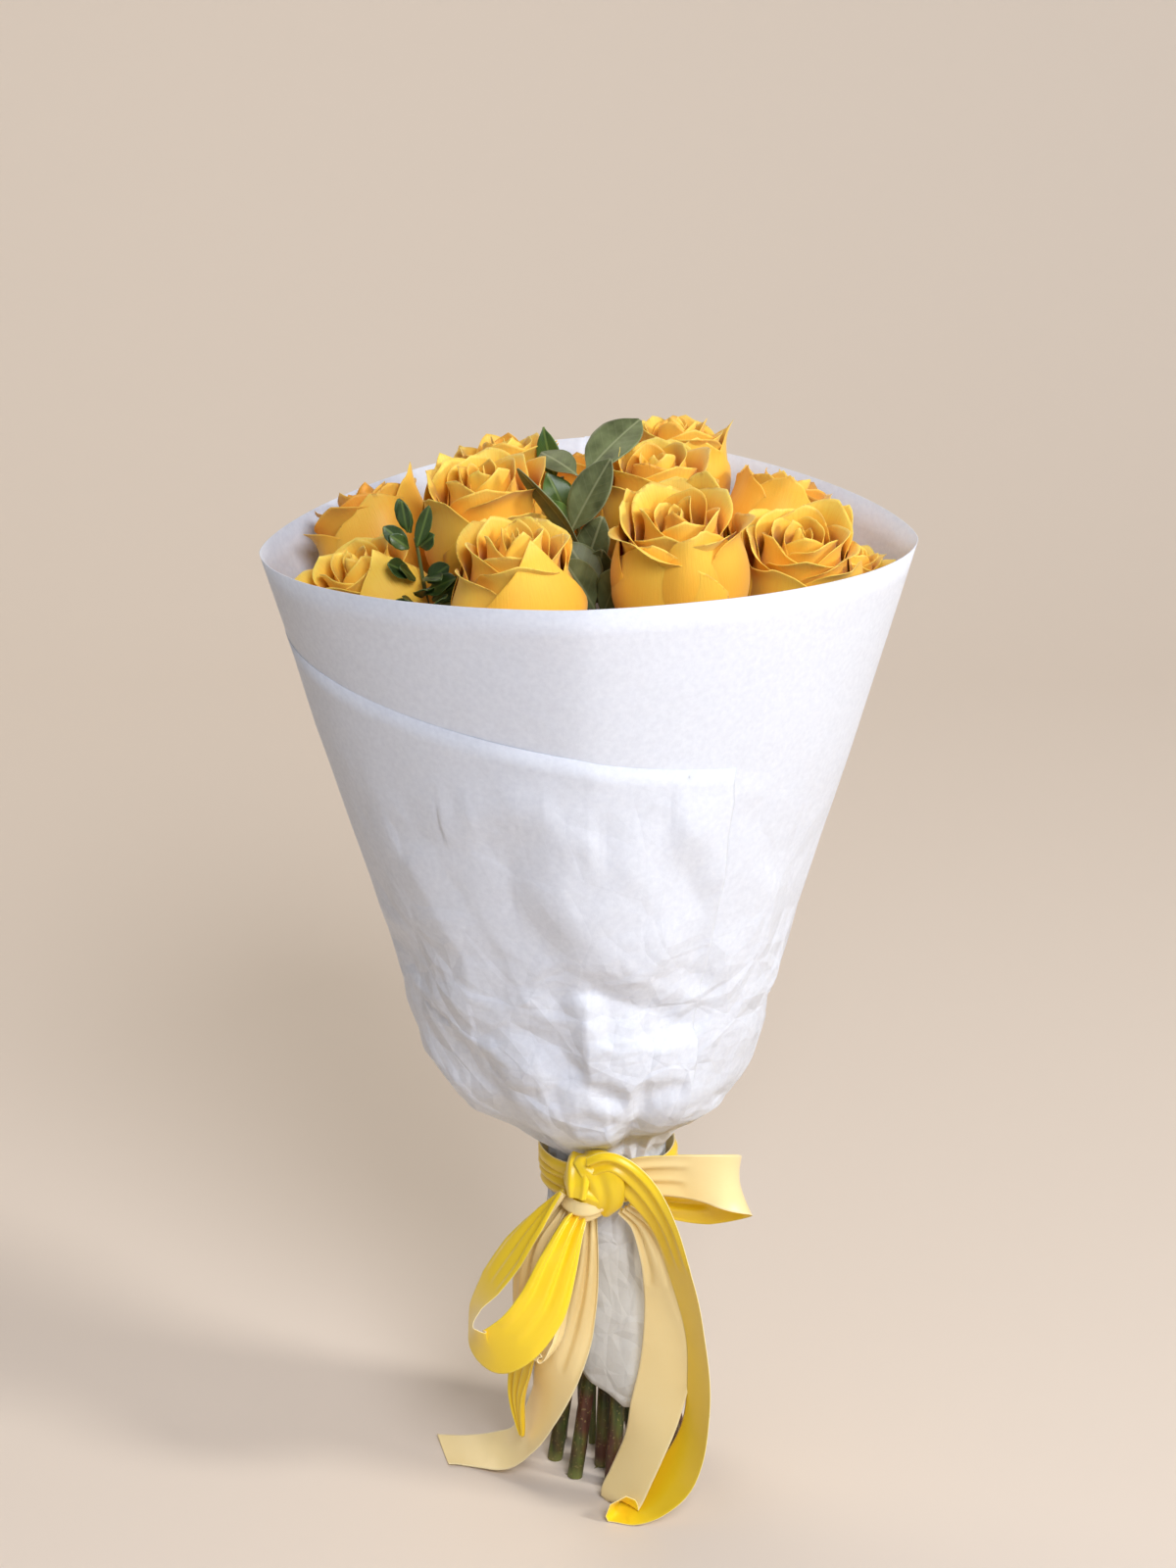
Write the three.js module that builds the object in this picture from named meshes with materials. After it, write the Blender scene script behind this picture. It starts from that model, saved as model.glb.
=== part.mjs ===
// A hand-tied bouquet of twelve roses with greenery, wrapped in a paper cone that is gathered at the
// neck and tied with a satin bow. It stands on its cut stem ends. Millimetres, +Z up; the origin is on
// the standing plane, under the middle of the paper rim.
import * as THREE from 'three';
import { LoftGeometry } from 'three/addons/geometries/LoftGeometry.js';

// Driving dimensions
const tieHeight = 150; // middle of the neck, where string and ribbon hold the stems
const neckShift = 9; // the bundle leans, so its neck stands this far to the right of the rim's middle
const baseShift = 14; // and its stem ends this far
const paperThickness = 1;
const paperLayerStep = 1.7; // how far each further turn of the sheet lies outside the last
const ribbonThickness = 0.8;
const stemRadius = 3.3;
const bloomRadius = 26;
const bloomHeight = 58;
const touchGap = 0.35; // clearance between pieces that touch

const bouquet = new THREE.Group();
bouquet.name = 'bouquet_of_roses';

function vec(x, y, z) {
  return new THREE.Vector3(x, y, z);
}

function addPiece(name, geometry, look) {
  const material = new THREE.MeshStandardMaterial({ metalness: 0, side: THREE.FrontSide, ...look });
  const mesh = new THREE.Mesh(geometry, material);
  mesh.name = name;
  bouquet.add(mesh);
  return mesh;
}

const petalLook = { color: 0xf2bd1d, roughness: 0.55 };
const stemLook = { color: 0x4f5a2a, roughness: 0.6 };
const eucalyptusLook = { color: 0x52695c, roughness: 0.6 };
const ruscusLook = { color: 0x2f6a35, roughness: 0.45 };
const lentiskLook = { color: 0x1f3d1c, roughness: 0.5 };
const paperLook = { color: 0xf1f1f4, roughness: 0.85, side: THREE.DoubleSide };
const ribbonLook = { color: 0xf5cf1c, roughness: 0.35 };
const creamLook = { color: 0xf0dca0, roughness: 0.4 };
const twineLook = { color: 0xb59a6a, roughness: 0.9 };

// Linear interpolation in a list of [key, value, value...] rows that run upwards
function rowAt(rows, key) {
  let upper = rows.findIndex((row) => row[0] >= key);
  if (upper < 0) upper = rows.length - 1;
  const lower = Math.max(upper - 1, 0);
  const span = rows[upper][0] - rows[lower][0];
  const share = span > 0 ? THREE.MathUtils.clamp((key - rows[lower][0]) / span, 0, 1) : 0;
  return rows[lower].map((value, i) => THREE.MathUtils.lerp(value, rows[upper][i], share));
}

// ---------------------------------------------------------------------------------------------
// Paper wrap: one sheet rolled one and a half times round. Height, half width, half depth,
// sideways shift and outline exponent (2 is an ellipse, less gives it pointed corners).
const wrapProfile = [
  [18, 35, 33, baseShift, 2],
  [60, 33, 31, 12, 2],
  [110, 28.5, 28, 10, 2],
  [138, 24.8, 24.8, neckShift, 2],
  [162, 24.8, 24.8, neckShift, 2],
  [172, 38, 33, 4.5, 2],
  [188, 60, 53, 3, 1.9],
  [204, 70, 62, 2, 1.85],
  [446, 140.5, 114, -1.2, 1.62], // the rim
];
const sheetStart = 90; // degrees round the outline: 0 is right, 90 back, 180 left, 270 front
const fullTurn = 360;
const sheetEnd = 665;
const sheetStep = 10;

function rimHeight(angle) {
  const a = THREE.MathUtils.degToRad(angle);
  return 438 + 3 * Math.cos(a) + 4 * Math.sin(a) + 12 * Math.sin(a) ** 2;
}

// The second turn's top edge falls away from the rim, round the left side and across the front
const flapEdge = [[450, 454], [495, 426], [540, 402], [585, 389], [630, 377], [665, 366]];

function sheetTop(angle) {
  const rim = rimHeight(angle);
  return angle > flapEdge[0][0] ? Math.min(rim, rowAt(flapEdge, angle)[1]) : rim;
}

// The skirt below the tie is longest at the left and cut away at the left front
const skirtEdge = [[0, 46], [90, 36], [180, 30], [205, 52], [228, 76], [250, 58], [275, 44], [360, 46]];

function sheetBottom(angle) {
  return rowAt(skirtEdge, angle % fullTurn)[1];
}

function wrapPoint(angle, height, outward) {
  const [, halfWidth, halfDepth, shift, power] = rowAt(wrapProfile, height);
  const c = Math.cos(THREE.MathUtils.degToRad(angle));
  const s = Math.sin(THREE.MathUtils.degToRad(angle));
  const x = Math.sign(c) * Math.abs(c) ** (2 / power) * (halfWidth + outward);
  const y = Math.sign(s) * Math.abs(s) ** (2 / power) * (halfDepth + outward);
  return vec(x + shift, y, height);
}

function sheetSection(angle) {
  const bottom = sheetBottom(angle);
  const top = sheetTop(angle);
  const neckHeights = [110, 138, 162, 172, 188, 204];
  const coneRows = 4;
  const heights = [bottom, (bottom + neckHeights[0]) / 2, ...neckHeights];
  for (let i = 1; i <= coneRows; i++) {
    heights.push(THREE.MathUtils.lerp(204, top, i / coneRows));
  }
  const middle = paperLayerStep * (angle - sheetStart) / fullTurn;
  const outer = heights.map((z) => wrapPoint(angle, z, middle + paperThickness / 2));
  const inner = heights.map((z) => wrapPoint(angle, z, middle - paperThickness / 2));
  return [...inner, ...outer.reverse()];
}

function makePaperWrap() {
  const sections = [];
  for (let angle = sheetStart; angle <= sheetEnd; angle += sheetStep) {
    sections.push(sheetSection(angle));
  }
  return new LoftGeometry(sections, { capStart: true, capEnd: true });
}

addPiece('paper_wrap', makePaperWrap(), paperLook);

// ---------------------------------------------------------------------------------------------
// Roses. Each row: top of the bloom (x, y, z), the way it leans (degrees round, degrees over),
// its size against the full bloom, its ring at the tie and its place in that ring.
const roses = [
  { top: [-98, -27, 441], leanTo: 200, lean: 20, size: 0.94, ring: 'outer', place: 5 },
  { top: [-99, 32, 452], leanTo: 150, lean: 24, size: 0.98, ring: 'outer', place: 4 },
  { top: [-45, -14, 475], leanTo: 235, lean: 9, size: 1, ring: 'inner', place: 2 },
  { top: [-36, 46, 472], leanTo: 110, lean: 8, size: 0.92, ring: 'inner', place: 1 },
  { top: [-30, -76, 462], leanTo: 255, lean: 10, size: 1, ring: 'outer', place: 7 },
  { top: [36, -66, 470], leanTo: 262, lean: 16, size: 1.04, ring: 'outer', place: 8 },
  { top: [28, 6, 478], leanTo: 260, lean: 5, size: 1, ring: 'inner', place: 0 },
  { top: [40, 70, 474], leanTo: 60, lean: 8, size: 0.9, ring: 'outer', place: 2 },
  { top: [88, 38, 457], leanTo: 25, lean: 20, size: 0.92, ring: 'outer', place: 1 },
  { top: [88, -36, 455], leanTo: 275, lean: 18, size: 0.92, ring: 'outer', place: 9 },
  { top: [112, 4, 436], leanTo: 10, lean: 14, size: 0.66, ring: 'outer', place: 0 },
  { top: [-8, 86, 454], leanTo: 95, lean: 12, size: 0.78, ring: 'outer', place: 3 },
];

const ringRadius = { middle: 0, inner: 6.6, outer: 13.9 };
const ringCount = { middle: 1, inner: 4, outer: 10 };
const ringTurn = { middle: 0, inner: -60, outer: -70 }; // spiral tying: stems cross the neck aslant
const baseSpread = 2.15; // how much wider the bundle is at its cut ends than at the tie
const baseTurn = -62; // degrees that it turns from the tie down to the cut ends

function leanAxis(leanTo, lean) {
  const round = THREE.MathUtils.degToRad(leanTo);
  const over = THREE.MathUtils.degToRad(lean);
  return vec(Math.cos(round) * Math.sin(over), Math.sin(round) * Math.sin(over), Math.cos(over));
}

function tiePoint(ring, place) {
  const angle = THREE.MathUtils.degToRad(ringTurn[ring] + (360 / ringCount[ring]) * place);
  const radius = ringRadius[ring];
  return vec(neckShift + radius * Math.cos(angle), radius * Math.sin(angle), tieHeight);
}

function cutEnd(ring, place) {
  const angle = THREE.MathUtils.degToRad(
    ringTurn[ring] + baseTurn + (360 / ringCount[ring]) * place,
  );
  const radius = ringRadius[ring] * baseSpread;
  return vec(baseShift + radius * Math.cos(angle), radius * Math.sin(angle), 0);
}

// A stem's centre line: straight from its cut end to the tie, then a gentle curve to its top
function stemPath(end, tie, top, topAxis) {
  const below = tie.clone().sub(end);
  const rise = top.z - tie.z;
  const leave = below.clone().multiplyScalar((rise * 0.35) / below.z).add(tie);
  const arrive = topAxis.clone().multiplyScalar(-rise * 0.3).add(top);
  const path = new THREE.CurvePath();
  path.add(new THREE.LineCurve3(end, tie));
  path.add(new THREE.CubicBezierCurve3(tie, leave, arrive, top));
  return path;
}

function ringPoints(centre, radius, sides, across, along) {
  return Array.from({ length: sides }, (_, i) => {
    const angle = (i / sides) * Math.PI * 2;
    const out = across.clone().multiplyScalar(radius * Math.cos(angle));
    return out.add(along.clone().multiplyScalar(radius * Math.sin(angle))).add(centre);
  });
}

function levelRing(centre, radius, sides) {
  return ringPoints(centre, radius, sides, vec(1, 0, 0), vec(0, 1, 0));
}

function stemSections(path, bottomRadius, topRadius, sides) {
  const sections = [];
  const lowerSteps = 3;
  const upperSteps = 8;
  const neckRadius = THREE.MathUtils.lerp(bottomRadius, topRadius, 0.4);
  const [lower, upper] = path.curves;
  for (let i = 0; i <= lowerSteps; i++) {
    const radius = THREE.MathUtils.lerp(bottomRadius, neckRadius, i / lowerSteps);
    sections.push(levelRing(lower.getPoint(i / lowerSteps), radius, sides));
  }
  for (let i = 1; i <= upperSteps; i++) {
    const radius = THREE.MathUtils.lerp(neckRadius, topRadius, i / upperSteps);
    sections.push(levelRing(upper.getPoint(i / upperSteps), radius, sides));
  }
  return sections;
}

// The cup under the bloom: its rings turn from level to square with the bloom's axis
const hipProfile = [[4, 3.2], [7, 5], [10, 4.6]]; // height above the stem's top, radius

function hipSections(top, axis, sides) {
  const across = vec(1, 0, 0).addScaledVector(axis, -axis.x).normalize();
  const along = axis.clone().cross(across);
  return hipProfile.map(([height, radius]) => {
    return ringPoints(top.clone().addScaledVector(axis, height), radius, sides, across, along);
  });
}

// Bloom outline, from the hip out over the guard petals and in over two whorls to the heart
const bloomOutline = [
  [0, 0], [0.17, 0], [0.55, 0.13], [0.83, 0.36], [0.97, 0.62], [1, 0.8], [0.9, 0.85], [0.74, 0.77],
  [0.68, 0.93], [0.52, 0.96], [0.42, 0.88], [0.28, 1], [0.1, 0.98], [0, 0.93],
];
const bloomSides = 12;
const bloomLobes = 5;

function makeBloom(size, phase) {
  const radius = bloomRadius * size;
  const height = bloomHeight * size;
  const points = bloomOutline.map(([r, h]) => new THREE.Vector2(r * radius, h * height));
  const geometry = new THREE.LatheGeometry(points, bloomSides);
  geometry.rotateX(Math.PI / 2);
  const position = geometry.attributes.position;
  for (let i = 0; i < position.count; i++) {
    const x = position.getX(i);
    const y = position.getY(i);
    const height01 = position.getZ(i) / height;
    const angle = Math.round((Math.atan2(y, x) / Math.PI / 2) * bloomSides * 2) / 2;
    const lobe = Math.cos(bloomLobes * (angle / bloomSides) * Math.PI * 2 + phase + 2 * height01);
    const swell = 1 + 0.04 * lobe * Math.min(height01 * 2, 1);
    position.setXY(i, x * swell, y * swell);
  }
  return geometry;
}

roses.forEach((rose, index) => {
  const number = String(index + 1).padStart(2, '0');
  const axis = leanAxis(rose.leanTo, rose.lean);
  const height = bloomHeight * rose.size;
  const seat = vec(...rose.top).addScaledVector(axis, -height);
  const hipHeight = hipProfile.at(-1)[0];
  const stemTop = seat.clone().addScaledVector(axis, -hipHeight - touchGap);
  const end = cutEnd(rose.ring, rose.place);
  const path = stemPath(end, tiePoint(rose.ring, rose.place), stemTop, axis);
  const sides = 8;
  const sections = stemSections(path, stemRadius * 1.1, stemRadius * 0.85, sides);
  sections.push(...hipSections(stemTop, axis, sides));
  addPiece(`rose_stem_${number}`, new LoftGeometry(sections, { capStart: true, capEnd: true }), stemLook);

  const bloom = addPiece(`rose_bloom_${number}`, makeBloom(rose.size, index * 1.3), petalLook);
  bloom.quaternion.setFromUnitVectors(vec(0, 0, 1), axis);
  bloom.position.copy(seat);
});

// ---------------------------------------------------------------------------------------------
// Greenery: three sprigs, each a thin stem through the tie with blades standing off its upper part.
// A blade: base, tip, the way its upper face looks, width, and how far its middle arches.
const sprigs = [
  {
    name: 'eucalyptus', look: eucalyptusLook, ring: 'middle', place: 0, radius: 1.6,
    top: [-3.5, -6, 470], leanTo: 60, lean: 4,
    blades: [
      { base: [-1, 0.5, 469], tip: [22, 22, 486.5], face: [-0.45, -0.7, 0.5], width: 21, arch: 3 },
      { base: [-7.5, -21, 449], tip: [9.5, -16, 480], face: [-0.5, -0.8, 0.3], width: 18, arch: 2 },
      { base: [-4.5, 1, 468], tip: [-20, 22, 472], face: [0, -0.5, 0.86], width: 13, arch: 2 },
      { base: [-2, -33, 446], tip: [-29, -27, 479], face: [-0.6, -0.5, -0.45], width: 15, arch: -2 },
      { base: [4, -44, 431], tip: [-8.5, -37, 450], face: [0.4, -0.8, 0.2], width: 16, arch: 2 },
      { base: [-3, -21, 428], tip: [6, -19, 456], face: [-0.3, -0.9, 0.1], width: 15, arch: 1 },
    ],
  },
  {
    name: 'ruscus', look: ruscusLook, ring: 'inner', place: 3, radius: 1.5,
    top: [-11, 21, 462], leanTo: 150, lean: 4,
    blades: [
      { base: [-14, 26, 460], tip: [-19, 31, 481], face: [-0.3, -0.9, 0.2], width: 11, arch: 2 },
      { base: [-9, 4, 449], tip: [-17.5, 9, 467], face: [0.2, -0.7, 0.7], width: 15, arch: 2 },
      { base: [-9, -12, 446], tip: [-17, -15, 462], face: [0.3, -0.6, 0.7], width: 13, arch: 2 },
      { base: [-4, 12, 446], tip: [-1, 20, 459], face: [0.2, -0.8, 0.6], width: 14, arch: 1 },
    ],
  },
  {
    name: 'lentisk', look: lentiskLook, ring: 'outer', place: 6, radius: 1.5,
    top: [-71, -37, 452], leanTo: 160, lean: 8,
    blades: [
      { base: [-73, -36, 454], tip: [-78, -34, 468], face: [-0.2, -0.9, 0.3], width: 7, arch: 1 },
      { base: [-74, -39, 449], tip: [-84, -41, 458], face: [-0.2, -0.8, 0.6], width: 8, arch: 1 },
      { base: [-69, -39, 449], tip: [-63, -44, 455], face: [0.2, -0.8, 0.6], width: 8, arch: 1 },
      { base: [-73, -43, 438], tip: [-82, -50, 445], face: [0, -0.7, 0.7], width: 9, arch: 1 },
      { base: [-66, -46, 436], tip: [-57, -49, 444], face: [0.2, -0.7, 0.7], width: 9, arch: 1 },
      { base: [-68, -48, 430], tip: [-66, -60, 437], face: [0, -0.5, 0.9], width: 9, arch: 1 },
    ],
  },
];

const bladeThickness = 0.9;
const bladeOutline = [[0, 0.12], [0.22, 0.72], [0.5, 1], [0.78, 0.78], [1, 0.1]]; // along, wide

function makeBlade({ base, tip, face, width, arch }) {
  const start = vec(...base);
  const finish = vec(...tip);
  const facing = vec(...face).normalize();
  const crest = start.clone().lerp(finish, 0.5).addScaledVector(facing, arch);
  const midrib = new THREE.QuadraticBezierCurve3(start, crest, finish);
  const sections = bladeOutline.map(([along, share]) => {
    const centre = midrib.getPoint(along);
    const tangent = midrib.getTangent(along);
    const side = facing.clone().cross(tangent).normalize();
    const normal = tangent.clone().cross(side);
    const half = (width / 2) * share;
    return [
      centre.clone().addScaledVector(side, half),
      centre.clone().addScaledVector(normal, bladeThickness / 2),
      centre.clone().addScaledVector(side, -half),
      centre.clone().addScaledVector(normal, -bladeThickness / 2),
    ];
  });
  return new LoftGeometry(sections, { capStart: true, capEnd: true });
}

sprigs.forEach((sprig) => {
  const axis = leanAxis(sprig.leanTo, sprig.lean);
  const end = cutEnd(sprig.ring, sprig.place);
  const path = stemPath(end, tiePoint(sprig.ring, sprig.place), vec(...sprig.top), axis);
  const sections = stemSections(path, sprig.radius * 1.2, sprig.radius * 0.55, 6);
  const stem = new LoftGeometry(sections, { capStart: true, capEnd: true });
  addPiece(`${sprig.name}_stem`, stem, { ...sprig.look, color: stemLook.color });
  sprig.blades.forEach((blade, i) => {
    addPiece(`${sprig.name}_leaf_${i + 1}`, makeBlade(blade), sprig.look);
  });
});

// ---------------------------------------------------------------------------------------------
// String round the stems, inside the paper
function makeTieRing(innerRadius, outerRadius, low, high, sides) {
  const outline = [
    [innerRadius, low], [outerRadius, low], [outerRadius, high], [innerRadius, high], [innerRadius, low],
  ];
  const geometry = new THREE.LatheGeometry(outline.map(([r, z]) => new THREE.Vector2(r, z)), sides);
  geometry.rotateX(Math.PI / 2);
  return geometry.translate(neckShift, 0, tieHeight);
}

addPiece('binding_string', makeTieRing(19, 21, -5, 5, 28), twineLook);

// ---------------------------------------------------------------------------------------------
// Satin ribbon: a band round the neck, the knot, four hanging loops and two tails. A strip's rows:
// middle of the ribbon (x, y, z), the way its width points, and its width where it is gathered.
const bandRadius = 28.6;
addPiece('ribbon_neck_band', makeTieRing(bandRadius, bandRadius + ribbonThickness, -10, 10, 32), ribbonLook);

const knotCentre = vec(1, -40, 157.5);
const knotHalfSize = vec(8.5, 6.5, 12);

function makeKnot() {
  const geometry = new THREE.SphereGeometry(1, 14, 10);
  geometry.scale(knotHalfSize.x, knotHalfSize.y, knotHalfSize.z);
  return geometry.translate(knotCentre.x, knotCentre.y, knotCentre.z);
}

addPiece('ribbon_knot', makeKnot(), ribbonLook);

const strips = [
  {
    name: 'ribbon_loop_right', look: creamLook, steps: 28,
    rows: [
      [11.5, -40, 160, 0, -0.3, 1, 14], [24, -41.5, 162, 0.05, -0.35, 1, 22],
      [43, -42, 162, 0.08, -0.4, 1, 25], [60, -39.5, 157, 0.2, -0.4, 1, 25],
      [69, -30, 149, 0.35, -0.3, 1, 25], [66, -20, 142, 0.4, -0.05, 1, 25],
      [53, -19, 140, 0.25, 0.05, 1, 25], [38, -26, 144, 0.1, 0, 1, 20],
      [25, -32, 149, 0.1, 0, 1, 12], [14, -34, 151, 0.1, 0, 1, 8],
    ],
  },
  {
    name: 'ribbon_loop_long', look: ribbonLook, steps: 44,
    rows: [
      [2, -48.5, 167, -0.4, -0.1, 1, 16], [10, -50.5, 170, -0.1, -0.2, 1, 18],
      [20, -52, 163, 0.4, -0.45, 0.8, 21], [31.5, -54, 146, 0.45, -0.75, 0.5, 24],
      [40, -56, 124, 0.42, -0.88, 0.25, 25], [46, -58, 99, 0.38, -0.92, 0.05, 25],
      [49, -59, 79, 0.38, -0.92, 0, 25], [49, -59, 58, 0.38, -0.92, -0.05, 25],
      [46.5, -58.5, 38, 0.42, -0.9, -0.15, 25], [40, -57.5, 22, 0.45, -0.88, -0.2, 25],
      [30, -56, 11, 0.42, -0.9, -0.2, 25], [20.5, -53.5, 5.5, 0.35, -0.93, -0.15, 25],
      [15.5, -51, 7.5, 0.35, -0.93, 0, 25], [19, -49, 15, 0.42, -0.9, 0, 25],
      [25, -46.5, 30, 0.68, -0.73, 0, 25], [30, -44.5, 48, 0.85, -0.5, 0, 25],
      [34.5, -42.5, 67, 0.92, -0.38, 0, 25], [36.5, -41.5, 87, 0.92, -0.35, 0, 25],
      [36, -40.8, 107, 0.92, -0.35, 0, 25], [32, -40.5, 124, 0.92, -0.35, 0.05, 20],
      [25, -39.8, 138, 0.85, -0.4, 0.2, 14], [16, -40, 146, 0.8, -0.4, 0.3, 9],
    ],
  },
  {
    name: 'ribbon_loop_left', look: ribbonLook, steps: 40,
    rows: [
      [-10.5, -41, 155, 0.4, -0.5, 0.7, 8], [-21, -40, 141, 0.45, -0.8, 0.3, 18],
      [-33, -40, 124, 0.4, -0.9, 0.1, 24], [-43, -42, 110, 0.4, -0.85, 0.25, 25],
      [-50, -45.5, 99, 0.25, -0.8, 0.5, 25], [-51, -51, 89, 0, -0.5, 0.85, 25],
      [-43, -57, 84, -0.3, -0.15, 0.95, 25], [-32, -61, 92, -0.45, 0, 0.8, 25],
      [-21, -60.5, 107, -0.6, -0.05, 0.65, 24], [-13, -56.5, 127, -0.8, -0.2, 0.4, 19],
      [-7, -50.5, 141, -0.9, -0.3, 0.1, 12], [-4, -46, 145, -0.9, -0.3, 0, 8],
    ],
  },
  {
    name: 'ribbon_loop_inner', look: creamLook, steps: 36,
    rows: [
      [-9, -36, 147, 0.6, -0.5, 0.3, 7], [-14, -36.5, 140, 0.6, -0.75, 0.2, 13],
      [-23, -38.5, 127, 0.55, -0.83, 0.1, 21], [-27.5, -41, 105, 0.5, -0.86, 0, 23],
      [-27, -44.5, 86, 0.45, -0.86, 0.15, 23], [-21, -47, 75, 0.2, -0.8, 0.55, 23],
      [-14.5, -46.5, 83, -0.25, -0.88, 0.4, 22], [-11.5, -45, 100, -0.4, -0.9, 0.1, 18],
      [-9.5, -43, 119, -0.6, -0.75, 0, 14], [-7.5, -41, 136, -0.8, -0.5, 0, 10],
      [-5.5, -40, 143, -0.9, -0.3, 0, 7],
    ],
  },
  {
    name: 'ribbon_tail_yellow', look: ribbonLook, steps: 22,
    rows: [
      [-10.5, -30, 143, 0.9, -0.4, 0, 8], [-16.5, -30.5, 116, 0.8, -0.6, 0, 15],
      [-24.5, -25.5, 86, 0.55, -0.8, 0, 20], [-30, -23.5, 58, 0.45, -0.85, 0, 20],
      [-32, -23.5, 42, 0.5, -0.85, 0, 13], [-30, -24, 22, 0.6, -0.8, 0, 2],
    ],
  },
  {
    name: 'ribbon_tail_cream', look: creamLook, steps: 34,
    rows: [
      [0, -34.5, 142, 0.95, -0.2, 0, 8], [-2, -34.5, 112, 0.95, -0.3, 0, 14],
      [-8, -32.5, 82, 0.95, -0.3, 0, 22], [-14, -31, 60, 0.75, -0.6, 0, 25],
      [-20, -28, 40, 0.5, -0.85, 0.1, 25], [-27, -21, 23, 0.35, -0.93, 0.12, 25],
      [-36, -13, 10, 0.25, -0.95, 0.05, 25], [-46, -6, 4.2, 0.2, -0.98, 0, 25],
      [-57, -2, 1.4, 0.2, -0.98, 0, 25], [-72, 0, 1, 0.2, -0.98, 0, 25],
    ],
  },
];

function makeStrip(rows, steps) {
  const middle = new THREE.CatmullRomCurve3(rows.map(([x, y, z]) => vec(x, y, z)), false, 'centripetal');
  const spread = new THREE.CatmullRomCurve3(
    rows.map(([, , , x, y, z]) => vec(x, y, z).normalize()), false, 'centripetal',
  );
  const sections = [];
  for (let i = 0; i <= steps; i++) {
    const t = i / steps;
    const centre = middle.getPoint(t);
    const tangent = middle.getTangent(t);
    const across = spread.getPoint(t).addScaledVector(tangent, -spread.getPoint(t).dot(tangent)).normalize();
    const normal = tangent.clone().cross(across);
    const place = t * (rows.length - 1);
    const low = Math.min(Math.floor(place), rows.length - 2);
    const width = THREE.MathUtils.lerp(rows[low][6], rows[low + 1][6], place - low);
    const out = across.multiplyScalar(width / 2);
    const up = normal.multiplyScalar(ribbonThickness / 2);
    sections.push([
      centre.clone().add(out).add(up), centre.clone().sub(out).add(up),
      centre.clone().sub(out).sub(up), centre.clone().add(out).sub(up),
    ]);
  }
  return new LoftGeometry(sections, { capStart: true, capEnd: true });
}

strips.forEach(({ name, look, rows, steps }) => {
  addPiece(name, makeStrip(rows, steps), look);
});

export default bouquet;
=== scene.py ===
import math

import bpy
import numpy as np
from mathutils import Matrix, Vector


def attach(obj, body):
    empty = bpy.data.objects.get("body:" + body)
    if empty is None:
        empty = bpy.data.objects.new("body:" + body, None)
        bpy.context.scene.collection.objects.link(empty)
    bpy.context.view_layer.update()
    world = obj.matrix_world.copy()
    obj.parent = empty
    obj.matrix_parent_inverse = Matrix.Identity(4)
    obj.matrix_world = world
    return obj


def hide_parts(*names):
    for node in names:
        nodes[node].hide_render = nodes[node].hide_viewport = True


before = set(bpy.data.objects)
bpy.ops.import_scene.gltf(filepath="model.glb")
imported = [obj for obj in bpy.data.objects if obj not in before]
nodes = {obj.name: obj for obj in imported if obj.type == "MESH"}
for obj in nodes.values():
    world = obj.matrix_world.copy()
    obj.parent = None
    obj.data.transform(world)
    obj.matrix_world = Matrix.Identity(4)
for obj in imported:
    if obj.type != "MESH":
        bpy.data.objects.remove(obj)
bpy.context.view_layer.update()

print("frame loaded:", len(nodes), "nodes")


# a node with its settings and links; a socket takes a value or another node's output
def addNode(tree, kind, inputs=None, stops=None, **settings):
    node = tree.nodes.new(kind)
    for key, value in settings.items():
        setattr(node, key, value)
    for socket, value in (inputs or {}).items():
        if isinstance(value, bpy.types.NodeSocket):
            tree.links.new(value, node.inputs[socket])
        else:
            node.inputs[socket].default_value = value
    for i, (place, colour) in enumerate(stops or []):
        ramp = node.color_ramp.elements
        stop = ramp[i] if i < len(ramp) else ramp.new(place)
        stop.position = place
        stop.color = linear(colour)
    return node


def linear(hexColour):
    parts = [int(hexColour[i:i + 2], 16) / 255 for i in (1, 3, 5)]
    return tuple(c / 12.92 if c <= 0.04045 else ((c + 0.055) / 1.055) ** 2.4 for c in parts) + (1,)


def newSurface(name, **settings):
    material = bpy.data.materials.new(name)
    material.use_nodes = True
    tree = material.node_tree
    tree.nodes.clear()
    shader = addNode(tree, "ShaderNodeBsdfPrincipled", {k.replace("_", " "): v for k, v in settings.items()})
    addNode(tree, "ShaderNodeOutputMaterial", {"Surface": shader.outputs["BSDF"]})
    return material, tree, shader


def mixColour(tree, factor, first, second):
    node = addNode(tree, "ShaderNodeMix", data_type="RGBA")
    for place, value in ((0, factor), (6, first), (7, second)):
        if isinstance(value, bpy.types.NodeSocket):
            tree.links.new(value, node.inputs[place])
        else:
            node.inputs[place].default_value = linear(value) if isinstance(value, str) else value
    return node.outputs[2]


def doMath(tree, operation, first, second=0.0):
    return addNode(tree, "ShaderNodeMath", {0: first, 1: second}, operation=operation).outputs[0]


def times(tree, first, second):
    return doMath(tree, "MULTIPLY", first, second)


def noise(tree, vector, scale, detail):
    node = addNode(tree, "ShaderNodeTexNoise", {"Vector": vector, "Scale": scale, "Detail": detail})
    return node.outputs["Fac"]


# noise stretched by its own scale on each axis, for threads, veins and streaks
def stretched(tree, vector, scale, detail):
    mapped = addNode(tree, "ShaderNodeMapping", {"Vector": vector, "Scale": scale})
    return noise(tree, mapped.outputs["Vector"], 1.0, detail)


def remap(tree, value, low, high, toHigh=1.0, toLow=0.0):
    return addNode(tree, "ShaderNodeMapRange", {
        "Value": value, "From Min": low, "From Max": high, "To Min": toLow, "To Max": toHigh,
    }).outputs["Result"]


def colourAlong(tree, value, stops):
    return addNode(tree, "ShaderNodeValToRGB", {"Fac": value}, stops).outputs["Color"]


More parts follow.
